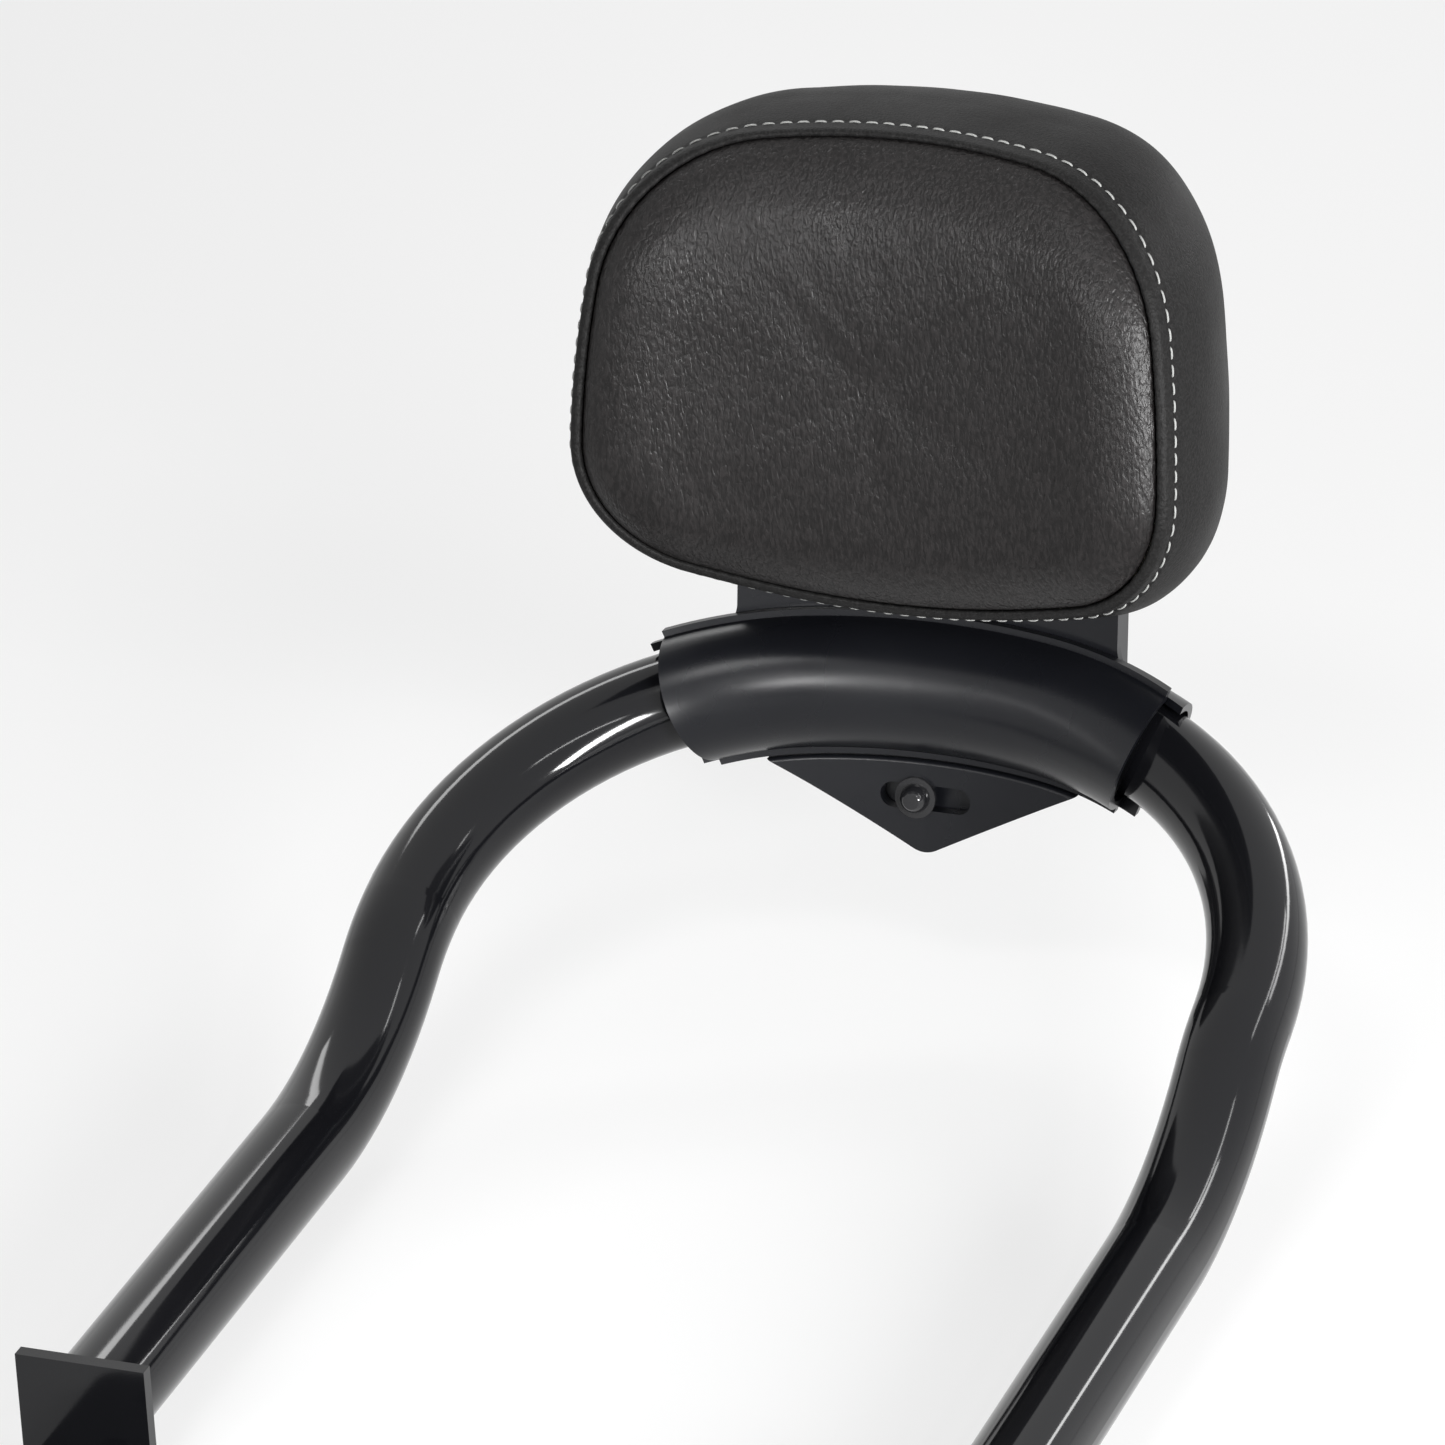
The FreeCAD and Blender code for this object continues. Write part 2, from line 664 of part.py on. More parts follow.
# hoop tube
tube = newBody("hoop_tube")
tubeBase = {"y": "sizes.hoop_y", "z": "sizes.hoop_z"}
rearPath = path(tube, "rear_path", "90", "sizes.hoop_tilt", tubeBase, True)
ring = sketchOn(tube, "tube_ring", "YZ_Plane", {"x": "sizes.hoop_y", "y": "sizes.hoop_z"})
circle(ring, "0", "0", "tube_radius")
circle(ring, "0", "0", "tube_radius - tube_wall")
rearPipe = pipe(tube, "rear_pipe", ring, rearPath)
railPath = sketchOn(tube, "rail_path", "YZ_Plane", {"z": "sizes.rail_half_spacing"})
outline(railPath, [
    ("rail_start_y", "rail_start_z", ("dip_radius", True)),
    ("rail_start_y - dip_forward", "rail_start_z - dip_drop", None),
    ("rise_end_y + rise_forward", "rail_height + rise_drop", ("rise_radius", False)),
    ("rise_end_y", "rail_height", None),
    ("rail_end_y", "rail_height", None),
], False)
railRing = sketchOn(tube, "rail_ring", "XZ_Plane",
                    {"x": "sizes.rail_half_spacing", "y": "sizes.rail_start_z", "z": "-sizes.rail_start_y"},
                    (1, 0, 0), "sizes.hoop_tilt")
circle(railRing, "0", "0", "tube_radius")
circle(railRing, "0", "0", "tube_radius - tube_wall")
railPipe = pipe(tube, "rail_pipe", railRing, railPath)
mirrored(tube, "left_half", [rearPipe, railPipe])

# feet: bent plates against the tube's square ends
rightPlace = "sizes.rail_half_spacing"
footSides = (("right_foot_plate", rightPlace), ("left_foot_plate", "-" + rightPlace))
for label, place in footSides:
    foot = newBody(label)
    foot.setExpression("Placement.Base.x", place)
    bend = sketchOn(foot, label + "_bend", "YZ_Plane")
    reach = "(foot_hole_pitch / 2 + foot_end_margin)"
    top = "rail_height + tube_radius + foot_top_margin"
    inner = "foot_bend_radius"
    outer = "(foot_bend_radius + foot_thickness)"
    outline(bend, [
        ("-" + reach, "0", None),
        ("rail_end_y - " + outer, "0", (outer, True)),
        ("rail_end_y", outer, None),
        ("rail_end_y", top, None),
        ("rail_end_y - foot_thickness", top, None),
        ("rail_end_y - foot_thickness", outer, (inner, False)),
        ("rail_end_y - " + outer, "foot_thickness", None),
        ("-" + reach, "foot_thickness", None),
    ])
    pad(foot, label + "_leaf", bend, "foot_width / 2", "foot_width / 2")
    trim = sketchOn(foot, label + "_ends", "XY_Plane")
    half = "foot_width / 2"
    corner = "foot_corner_radius"
    low = "-(%s + foot_width)" % reach
    start = "-%s + %s" % (reach, corner)
    outline(trim, [
        ("-foot_width", low, None),
        ("foot_width", low, None),
        ("foot_width", start, None),
        (half, start, (corner, False)),
        (half + " - " + corner, "-" + reach, None),
        ("-(%s - %s)" % (half, corner), "-" + reach, (corner, False)),
        ("-" + half, start, None),
        ("-foot_width", start, None),
    ])
    pocket(foot, label + "_rounding", trim, None, False, True)
    bores = sketchOn(foot, label + "_bores", "XY_Plane")
    circle(bores, "0", "foot_hole_pitch / 2", "foot_hole_diameter / 2")
    circle(bores, "0", "-foot_hole_pitch / 2", "foot_hole_diameter / 2")
    pocket(foot, label + "_holes", bores, "foot_thickness * 2", False, True)

# front clamp shell: slotted tab first, then the shell swept over it
front = clampBody("front_clamp_shell")
tabSection = sketchOn(front, "tab_section", "YZ_Plane")
outline(tabSection, [
    ("-half_parting", "-(front_bore + 2)", None),
    ("-(half_parting + 2)", "-(front_bore + 2)", None),
    ("-(half_parting + 2)", "-tab_top", None),
    ("-(tab_face - tab_ledge_radius)", "-tab_top", ("tab_ledge_radius", True)),
    ("-tab_face", "-(tab_top + tab_ledge_radius)", None),
    ("-tab_face", "-(tab_drop + 6)", None),
    ("-half_parting", "-(tab_drop + 6)", None),
])
sweptBothWays(front, "tab", tabSection, clampPath(front, "tab_path", "tab_end_angle"))
tabCut = sketchOn(front, "tab_cut", "XZ_Plane")
apexX = "tab_apex_radius * sin(tab_edge_angle)"
apexZ = "-(tab_apex_level + tab_apex_radius * cos(tab_edge_angle))"
outline(tabCut, [
    ("tab_half_width * 2", "-tab_shoulder", None),
    ("tab_half_width", "-tab_shoulder", None),
    (apexX, apexZ, ("tab_apex_radius", False)),
    ("-" + apexX, apexZ, None),
    ("-tab_half_width", "-tab_shoulder", None),
    ("-tab_half_width * 2", "-tab_shoulder", None),
    ("-tab_half_width * 2", "-tab_drop * 2", None),
    ("tab_half_width * 2", "-tab_drop * 2", None),
])
pocket(front, "tab_outline", tabCut, None, False, True)
slotCut = sketchOn(front, "slot_cut", "XZ_Plane")
slotTop = "-(slot_level - slot_width / 2)"
slotLow = "-(slot_level + slot_width / 2)"
slotEnd = "(slot_length - slot_width) / 2"
slotRound = "slot_width / 2 + 0.001"
outline(slotCut, [
    ("-" + slotEnd, slotTop, (slotRound, True)),
    ("-" + slotEnd, slotLow, None),
    (slotEnd, slotLow, (slotRound, True)),
    (slotEnd, slotTop, None),
])
pocket(front, "tab_slot", slotCut, None, False, True)
screwReach = "clamp_screw_grip + half_parting"
for side, word in ((1, "right"), (-1, "left")):
    spot = station("clamp_screw_angle", "-sizes.clamp_screw_level", "0", side=side)
    stationBore(front, "tapped_" + word, spot, "(clamp_screw_diameter + thread_play) / 2", screwReach)
section = sketchOn(front, "shell_section", "YZ_Plane")
outFoot = "sqrt(front_outer ^ 2 - lip_face ^ 2)"
boreFoot = "sqrt(front_bore ^ 2 - half_parting ^ 2)"
outline(section, [
    ("-half_parting", boreFoot, None),
    ("-half_parting", "front_outer + lip_height", None),
    ("-lip_face", "front_outer + lip_height", None),
    ("-lip_face", outFoot, ("front_outer", True)),
    ("-lip_face", "-" + outFoot, None),
    ("-lip_face", "-(front_outer + lower_lip_height)", None),
    ("-half_parting", "-(front_outer + lower_lip_height)", None),
    ("-half_parting", "-" + boreFoot, ("front_bore", False)),
])
sweptBothWays(front, "shell", section, clampPath(front, "shell_path", "clamp_end_angle"))
slantedEnds(front, "shell_ends", "clamp_half_width")

# rear half: lower flange, shell and upright in one casting
rear = clampBody("rear_clamp_bracket")
flangeSection = sketchOn(rear, "flange_section", "YZ_Plane")
outline(flangeSection, [
    ("half_parting", "-(flange_drop + 6)", None),
    ("flange_face", "-(flange_drop + 6)", None),
    ("flange_face", "-(rear_bore + 1)", None),
    ("half_parting", "-(rear_bore + 1)", None),
])
sweptBothWays(rear, "flange", flangeSection, clampPath(rear, "flange_path", "tab_end_angle"))
flangeCut = sketchOn(rear, "flange_cut", "XZ_Plane")
outline(flangeCut, [
    ("tab_half_width * 2", "-(rear_outer + 1)", None),
    ("flange_half_width", "-(rear_outer + 1)", None),
    ("flange_half_width", "-tab_shoulder - 6", None),
    ("flange_foot_half_width", "-flange_drop", None),
    ("-flange_foot_half_width", "-flange_drop", None),
    ("-flange_half_width", "-tab_shoulder - 6", None),
    ("-flange_half_width", "-(rear_outer + 1)", None),
    ("-tab_half_width * 2", "-(rear_outer + 1)", None),
    ("-tab_half_width * 2", "-tab_drop * 2", None),
    ("tab_half_width * 2", "-tab_drop * 2", None),
])
pocket(rear, "flange_outline", flangeCut, None, False, True)
for side, word in ((1, "right"), (-1, "left")):
    spot = station("clamp_screw_angle", "-sizes.clamp_screw_level", "0", side=side)
    radius = "(clamp_screw_diameter + clamp_screw_play) / 2"
    stationBore(rear, "clearance_" + word, spot, radius, "flange_face * 2")
boltSpot = station("slot_bolt_angle", "-sizes.slot_level", "0", side=-1)
stationBore(rear, "bolt_hole", boltSpot, "(slot_bolt_diameter + slot_bolt_play) / 2", "flange_face * 2")

uprightPlan = sketchOn(rear, "upright_plan", "XY_Plane")
bandPlan(uprightPlan, "half_parting", "half_parting + upright_thickness", "flare_half_width")
pad(rear, "upright_plate", uprightPlan, "upright_height")
sidePlan = sketchOn(rear, "side_flange_plan", "XY_Plane")
inside = "upright_half_width - upright_flange_thickness"
nearY = "half_parting + upright_thickness / 2 - upright_drop"
farY = "half_parting + upright_flange_depth - upright_drop"
outline(sidePlan, [(inside, nearY, None), ("upright_half_width", nearY, None),
                   ("upright_half_width", farY, None), (inside, farY, None)])
outline(sidePlan, [("-upright_half_width", nearY, None), ("-(%s)" % inside, nearY, None),
                   ("-(%s)" % inside, farY, None), ("-upright_half_width", farY, None)])
pad(rear, "upright_side_flanges", sidePlan, "upright_height")
uprightCut = sketchOn(rear, "upright_cut", "XZ_Plane")
wide = "flare_half_width + 20"
corner = "upright_corner_radius"
outline(uprightCut, [
    (wide, "upright_height + 20", None),
    ("-(%s)" % wide, "upright_height + 20", None),
    ("-(%s)" % wide, "flare_level", None),
    ("-flare_half_width", "flare_level", ("upright_flare_radius", True)),
    ("-upright_half_width", "flare_level + upright_flare_radius", None),
    ("-upright_half_width", "upright_height - " + corner, (corner, False)),
    ("-(upright_half_width - %s)" % corner, "upright_height", None),
    ("upright_half_width - " + corner, "upright_height", (corner, False)),
    ("upright_half_width", "upright_height - " + corner, None),
    ("upright_half_width", "flare_level + upright_flare_radius", ("upright_flare_radius", True)),
    ("flare_half_width", "flare_level", None),
    (wide, "flare_level", None),
])
pocket(rear, "upright_outline", uprightCut, None, False, True)
for side, word in ((1, "right"), (-1, "left")):
    spot = station("pad_screw_angle", "sizes.pad_screw_lower", "sizes.half_parting", True, side=side)
    stationBore(rear, "pad_holes_" + word, spot, "(pad_screw_diameter + pad_screw_play) / 2",
                "upright_thickness * 2", ("0", "pad_screw_pitch"))
rearSection = sketchOn(rear, "rear_section", "YZ_Plane")
rearLip = "half_parting + lip_thickness"
outline(rearSection, [
    ("half_parting", "sqrt(rear_bore ^ 2 - half_parting ^ 2)", ("rear_bore", False)),
    ("half_parting", "-sqrt(rear_bore ^ 2 - half_parting ^ 2)", None),
    ("half_parting", "-(rear_outer + lip_thickness)", None),
    (rearLip, "-(rear_outer + lip_thickness)", None),
    (rearLip, "-sqrt(rear_outer ^ 2 - lip_face ^ 2)", ("rear_outer", True)),
    ("half_parting", "sqrt(rear_outer ^ 2 - half_parting ^ 2)", None),
])
sweptBothWays(rear, "rear_shell", rearSection, clampPath(rear, "bracket_path", "clamp_end_angle"))
boreSection = sketchOn(rear, "bore_section", "YZ_Plane")
circle(boreSection, "0", "0", "rear_bore")
sweptBothWays(rear, "rear_bore_cut", boreSection, clampPath(rear, "bore_path", "clamp_end_angle"), True)
slantedEnds(rear, "bracket_ends", "(clamp_half_width + bracket_extra)")

# liners between the tube and the two halves
liners = (("front_liner", "-", "front_liner_outer", True), ("rear_liner", "", "rear_liner_outer", False))
for label, sign, outerName, bulges in liners:
    liner = clampBody(label)
    lining = sketchOn(liner, label + "_section", "YZ_Plane")
    edge = "%s(half_parting + liner_setback / 2)" % sign
    innerZ = "sqrt(liner_bore ^ 2 - (half_parting + liner_setback / 2) ^ 2)"
    outerZ = "sqrt(%s ^ 2 - (half_parting + liner_setback / 2) ^ 2)" % outerName
    outline(lining, [
        (edge, innerZ, None),
        (edge, outerZ, (outerName, bulges)),
        (edge, "-" + outerZ, None),
        (edge, "-" + innerZ, ("liner_bore", not bulges)),
    ])
    sweptBothWays(liner, label, lining, clampPath(liner, label + "_path", "clamp_end_angle"))
    slantedEnds(liner, label + "_ends", "(clamp_half_width - liner_setback)")

# pad pieces
faceTag = "pad_face_panel"
face = padBody(faceTag)
trimmed = padBlock(face, "face", "-crown_height", "cover_thickness", "(-soft_gap)")
rimFillet(face, "face_crown", trimmed, "-crown_height", "crown_fillet")

cavity = newBody("band_cavity")
cavityRear = "pad_depth - cover_thickness"
trimmed = padBlock(cavity, "cavity", "cover_thickness", cavityRear, "(band_bulge - cover_thickness)")
innerFillet = "band_front_fillet - cover_thickness"
rounded = rimFillet(cavity, "cavity_front_round", trimmed, "cover_thickness", innerFillet)
innerFillet = "band_rear_fillet - cover_thickness"
rimFillet(cavity, "cavity_rear_round", rounded, cavityRear, innerFillet)

band = padBody("pad_side_band")
trimmed = padBlock(band, "band", "0", "pad_depth", "band_bulge")
rounded = rimFillet(band, "band_front_round", trimmed, "0", "band_front_fillet")
rounded = rimFillet(band, "band_rear_round", rounded, "pad_depth", "band_rear_fillet")
hollow = band.newObject("PartDesign::Boolean", "band_hollow")
hollow.Type = "Cut"
hollow.setObjects([cavity])
openingDepth = "sizes.pad_depth / 3"
frontOpening = sketchOn(band, "front_opening", "XZ_Plane", {"z": "-" + openingDepth})
padLoop(frontOpening, "0")
pocket(band, "front_open", frontOpening, None, True)
backOpening = sketchOn(band, "back_opening", "XZ_Plane", {"z": "-" + openingDepth})
padLoop(backOpening, "(-back_inset)")
pocket(band, "back_open", backOpening, None, False)
entry = sketchOn(band, "upright_entry", "XY_Plane")
bandPlan(entry, "plate_front - entry_gap", "flange_rear + entry_gap", "upright_half_width + entry_gap")
pocket(band, "upright_opening", entry, None, False)

foam = padBody("foam_core")
trimmed = padBlock(foam, "foam", "inner_front", "board_front - soft_gap", "inner_bulge")
rimFillet(foam, "foam_round", trimmed, "inner_front", "band_front_fillet - cover_thickness")

board = padBody("base_board")
padBlock(board, "board", "board_front", "board_rear", "(inner_bulge - board_edge_gap)")
padLevels = ("0", "pad_screw_pitch")
for side, word in ((1, "right"), (-1, "left")):
    level = "sizes.pad_screw_lower - sizes.pad_raise"
    spot = station("pad_screw_angle", level, "sizes.plate_front", True, side=side)
    barrel = "tee_nut_barrel / 2 + seat_gap / 2"
    stationBore(board, "barrel_bores_" + word, spot, barrel, "board_thickness * 2", padLevels)
    flange = "tee_nut_flange / 2 + seat_gap"
    seatAhead = "board_thickness + seat_gap"
    seatReach = "tee_nut_plate + soft_gap"
    stationBore(board, "flange_seats_" + word, spot, flange, seatReach, padLevels, seatAhead)

backFoam = padBody("back_foam")
foamBulge = "(inner_bulge - back_foam_inset)"
trimmed = padBlock(backFoam, "back_foam", "back_foam_front", "inner_rear", foamBulge)
rimFillet(backFoam, "back_foam_round", trimmed, "inner_rear", "inner_rear - back_foam_front - 1")
recess = sketchOn(backFoam, "upright_recess", "XZ_Plane")
recessTop = "upright_height - pad_raise + entry_gap"
recessHalf = "(upright_half_width + entry_gap)"
recessCorner = "(upright_corner_radius + entry_gap)"
outline(recess, [
    ("-" + recessHalf, "-pad_top", None),
    (recessHalf, "-pad_top", None),
    (recessHalf, "%s - %s" % (recessTop, recessCorner), (recessCorner, True)),
    ("%s - %s" % (recessHalf, recessCorner), recessTop, None),
    ("-(%s - %s)" % (recessHalf, recessCorner), recessTop, (recessCorner, True)),
    ("-" + recessHalf, "%s - %s" % (recessTop, recessCorner), None),
])
pocket(backFoam, "recess", recess, None, False, True)

backPanel = padBody("pad_back_panel")
padBlock(backPanel, "back", "pad_depth - cover_thickness", "pad_depth", "(-back_inset - soft_gap)")

# fasteners
groups = {}


def fastener(group, body):
    groups.setdefault(group, []).append(body)


spots = [(side, word, level, row) for side, word in ((1, "right"), (-1, "left"))
         for level, row in (("sizes.pad_screw_lower", "lower"),
                            ("sizes.pad_screw_lower + sizes.pad_screw_pitch", "upper"))]
for side, word, level, row in spots:
    place = inClamp(station("pad_screw_angle", level, "sizes.half_parting", True, side=side))
    mark = "_%s_%s" % (row, word)
    seat = "upright_thickness + pad_washer_thickness"
    tip = "-board_thickness"
    fastener("pad_screws", socketScrew("pad_screw" + mark, place, "pad_screw", seat, tip, True))
    bore = "(pad_screw_diameter + pad_screw_play) / 2"
    fastener("pad_washers", washer("pad_washer" + mark, place, bore, "pad_washer_diameter / 2",
                                   "upright_thickness", "pad_washer_thickness"))
    nutBore = "(pad_screw_diameter + thread_play) / 2"
    back = "-(seat_gap + 0.6)"
    fore = "-(board_thickness + seat_gap)"
    step = "%s + tee_nut_plate" % fore
    fastener("tee_nuts", turnedBody("tee_nut" + mark, place, [
        (nutBore, fore, None), ("tee_nut_flange / 2", fore, None), ("tee_nut_flange / 2", step, None),
        ("tee_nut_barrel / 2", step, None), ("tee_nut_barrel / 2", back, None), (nutBore, back, None)]))
for side, word in ((1, "right"), (-1, "left")):
    place = inClamp(station("clamp_screw_angle", "-sizes.clamp_screw_level", "0", side=side))
    fastener("clamp_screws", socketScrew("clamp_screw_" + word, place, "clamp_screw", "flange_face",
                                         "-(half_parting + clamp_screw_grip - 0.4)", False))
boltPlace = inClamp(station("slot_bolt_angle", "-sizes.slot_level", "0", side=-1, flip=True))
boltSeat = "washer_seat + slot_washer_thickness"
boltTip = "-(flange_face + slot_nut_thickness + slot_bolt_tail)"
fastener("slot_bolt", socketScrew("slot_bolt_piece", boltPlace, "slot_bolt", boltSeat, boltTip, True))
fastener("slot_washer", washer("slot_washer_piece", boltPlace, "(slot_bolt_diameter + slot_bolt_play) / 2",
                               "slot_washer_diameter / 2", "washer_seat", "slot_washer_thickness"))
nut = newBody("slot_nut_piece")
nut.setExpression("Placement", boltPlace)
nutSketch = sketchOn(nut, "slot_nut_hexagon", "XZ_Plane", {"z": prefixed("flange_face")})
hexagon(nutSketch, "slot_nut_flats")
circle(nutSketch, "0", "0", "(slot_bolt_diameter + thread_play) / 2")
pad(nut, "slot_nut_block", nutSketch, "slot_nut_thickness")
fastener("slot_nut", nut)

doc.recompute()
bad = [o.Name for o in doc.Objects if "Invalid" in o.State or "Error" in o.State]
if bad:
    raise RuntimeError("features with errors: " + ", ".join(bad))

nodes = {}
for body in (tube, front, rear, face, band, foam, board, backFoam, backPanel):
    nodes[body.Label] = [body]
for label in ("right_foot_plate", "left_foot_plate", "front_liner", "rear_liner"):
    nodes[label] = doc.getObjectsByLabel(label)
nodes.update(groups)
os.makedirs("parts", exist_ok=True)
for label in sorted(nodes):
    shapes = []
    for body in nodes[label]:
        shape = body.Shape
        if shape.isNull() or not shape.isValid() or not shape.Solids:
            raise RuntimeError("bad shape in " + body.Label)
        shapes += shape.Solids
    whole = shapes[0] if len(shapes) == 1 else Part.makeCompound(shapes)
    whole.exportStep("parts/%s.step" % label)
    box = whole.optimalBoundingBox() if hasattr(whole, "optimalBoundingBox") else whole.BoundBox
    volume = sum(s.Volume for s in shapes)
    reach = (box.XMin, box.XMax, box.YMin, box.YMax, box.ZMin, box.ZMax)
    print("%-20s %d solids %9.0f mm3" % (label, len(shapes), volume))
    print("    x %.1f..%.1f y %.1f..%.1f z %.1f..%.1f" % reach)
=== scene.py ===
import bmesh
import bpy
import math
from mathutils import Matrix, Vector, noise


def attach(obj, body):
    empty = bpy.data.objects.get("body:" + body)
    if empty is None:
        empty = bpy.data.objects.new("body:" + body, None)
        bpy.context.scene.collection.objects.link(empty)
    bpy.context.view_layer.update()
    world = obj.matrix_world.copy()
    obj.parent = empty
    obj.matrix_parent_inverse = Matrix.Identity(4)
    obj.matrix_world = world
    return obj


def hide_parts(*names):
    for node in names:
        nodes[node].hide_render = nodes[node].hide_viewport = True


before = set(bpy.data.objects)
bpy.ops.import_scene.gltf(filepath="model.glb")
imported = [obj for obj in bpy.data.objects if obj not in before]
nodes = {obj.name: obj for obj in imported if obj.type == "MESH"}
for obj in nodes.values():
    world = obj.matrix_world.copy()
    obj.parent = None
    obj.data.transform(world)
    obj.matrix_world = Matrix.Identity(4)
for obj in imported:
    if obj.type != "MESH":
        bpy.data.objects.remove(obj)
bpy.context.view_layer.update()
scene = bpy.context.scene
scene.view_settings.view_transform = "Standard"
print("frame loaded")

# the frame's own sizes, in millimetres: the hoop's rear middle, its two arcs and the pad's place on them
hoop = {"y": 453.17, "z": 113.80, "tilt": math.radians(21), "radius": 250.0, "half": math.radians(10),
        "railX": 153}
hoop["joinX"] = hoop["radius"] * math.sin(hoop["half"])
hoop["corner"] = (hoop["railX"] - hoop["joinX"]) / (1 - math.sin(hoop["half"]))
recline = math.radians(10)
lean = hoop["tilt"] + recline
# the same curve seen square to the pad
plan = {"rear": hoop["radius"] / math.cos(lean), "corner": hoop["corner"] / math.cos(lean),
        "joinX": hoop["joinX"]}
plan["half"] = math.asin(plan["joinX"] / plan["rear"])
padPlace = {"forward": 50.0, "raise": 99.0, "middle": 27.0}
outline = {"topRadius": 344.0, "top": 110.5, "upperCorner": 62.5, "sideRadius": 414.0, "halfWidth": 105.0,
           "sideLevel": -5.0, "lowerCorner": 46.5, "bottomRadius": 267.0, "bottom": 56.0}


def planDrop(x):
    # how far the plan curve lies in front of its middle
    x = abs(x)
    if x <= plan["joinX"]:
        return plan["rear"] - math.sqrt(plan["rear"] ** 2 - x * x)
    sine = math.sin(plan["half"]) + (x - plan["joinX"]) / plan["corner"]
    return (plan["rear"] * (1 - math.cos(plan["half"]))
            + plan["corner"] * (math.cos(plan["half"]) - math.sqrt(1 - sine * sine)))


def clampPoint(x, depth, height):
    # from the clamp's reclined frame to the object's frame, in metres
    y = hoop["y"] + depth * math.cos(recline) + height * math.sin(recline)
    z = hoop["z"] - depth * math.sin(recline) + height * math.cos(recline)
    return Vector((x, y, z)) * 0.001


def padPoint(x, depth, height):
    # depth is measured from the plane of the front seam, which follows the plan curve
    return clampPoint(x, depth - padPlace["forward"] - planDrop(x), height + padPlace["raise"])


def outlineArcs():
    # the pad's outline as tangent arcs, from the top middle round to the right: centre, radius, angles
    top, side, low = outline["topRadius"], outline["sideRadius"], outline["bottomRadius"]
    high, deep = outline["upperCorner"], outline["lowerCorner"]
    topC = Vector((0, outline["top"] - top))
    sideC = Vector((outline["halfWidth"] - side, outline["sideLevel"]))
    lowC = Vector((0, low - outline["bottom"]))

    def corner(a, ra, b, rb, sign):
        span = (b - a).length
        along = (ra * ra - rb * rb + span * span) / (2 * span)
        across = math.sqrt(ra * ra - along * along)
        unit = (b - a) / span
        return a + unit * along + Vector((-unit.y, unit.x)) * across * sign

    upper = corner(topC, top - high, sideC, side - high, -1)
    lower = corner(lowC, low - deep, sideC, side - deep, 1)

    def angle(centre, point):
        return math.atan2(point.y - centre.y, point.x - centre.x)

    a = angle(topC, upper)
    b = angle(sideC, upper)
    c = angle(sideC, lower)
    d = angle(lowC, lower)
    return [(topC, top, math.pi / 2, a), (upper, high, a, b), (sideC, side, b, c), (lower, deep, c, d),
            (lowC, low, d, -math.pi / 2)]


def arcLengths():
    return [radius * (first - last) for centre, radius, first, last in outlineArcs()]


def outlineLoop(count):
    # points evenly spaced round the seam line, each with its outward direction
    arcs = outlineArcs()
    lengths = arcLengths()
    half = sum(lengths)
    loop = []
    for k in range(count):
        run = 2 * half * k / count
        mirror = 1
        if run > half:
            run = 2 * half - run
            mirror = -1
        for (centre, radius, first, last), length in zip(arcs, lengths):
            if run <= length + 1e-9:
                break
            run -= length
        turn = first - run / radius
        normal = Vector((math.cos(turn), math.sin(turn)))
        point = centre + normal * radius
        loop.append((point.x * mirror, point.y, normal.x * mirror, normal.y))
    return loop


def newObject(name, mesh, material):
    obj = bpy.data.objects.new(name, mesh)
    scene.collection.objects.link(obj)
    mesh.materials.append(material)
    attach(obj, "root")
    return obj


def layGrid(bm, rows, skip=None):
    # an operator's grid laid over rows of points, joined round, with meeting points merged
    columns = len(rows[0])
    last = len(rows) - 1
    sheet = bmesh.ops.create_grid(bm, x_segments=columns, y_segments=last, size=0.5)["verts"]
    if skip:
        gone = set()
        for vert in sheet:
            for face in vert.link_faces:
                spot = face.calc_center_median()
                if skip(int((spot.y + 0.5) * last), int((spot.x + 0.5) * columns)):
                    gone.add(face)
        bmesh.ops.delete(bm, geom=list(gone), context="FACES")
        sheet = [vert for vert in sheet if vert.is_valid]
    for vert in sheet:
        row = rows[round((vert.co.y + 0.5) * last)]
        vert.co = row[round((vert.co.x + 0.5) * columns) % columns]
    bmesh.ops.remove_doubles(bm, verts=sheet, dist=1e-7)


def skinMesh(name, rows, skip=None):
    mesh = bpy.data.meshes.new(name)
    bm = bmesh.new()
    layGrid(bm, rows, skip)
    return finishMesh(mesh, bm)


def finishMesh(mesh, bm):
    bmesh.ops.recalc_face_normals(bm, faces=bm.faces)
    for face in bm.faces:
        face.smooth = True
    bm.to_mesh(mesh)
    bm.free()
    return mesh


# materials
def newMaterial(name):
    material = bpy.data.materials.new(name)
    material.use_nodes = True
    tree = material.node_tree
    shader = tree.nodes["Principled BSDF"]
    coordinates = tree.nodes.new("ShaderNodeTexCoord")
    return material, tree, shader, coordinates.outputs["Object"]


def node(tree, kind, **values):
    item = tree.nodes.new(kind)
    for key, value in values.items():
        if hasattr(item, key):
            setattr(item, key, value)
        else:
            item.inputs[key.replace("_", " ")].default_value = value
    return item


def mapped(tree, vector, scale):
    item = node(tree, "ShaderNodeMapping")
    item.inputs["Scale"].default_value = scale
    tree.links.new(vector, item.inputs["Vector"])
    return item.outputs["Vector"]


def uneven(tree, source, low, high):
    # a value that drifts from low to high with a noise
    item = node(tree, "ShaderNodeMapRange", From_Min=0.3, From_Max=0.7, To_Min=low, To_Max=high)
    tree.links.new(source, item.inputs["Value"])
    return item.outputs["Result"]


def toned(tree, source, colour, low, high):
    # the colour, from low to high times its brightness
    item = node(tree, "ShaderNodeMix", data_type="RGBA")
    item.inputs["A"].default_value = (*[c * low for c in colour], 1)
    item.inputs["B"].default_value = (*[c * high for c in colour], 1)
    tree.links.new(source, item.inputs["Factor"])
    return item.outputs["Result"]


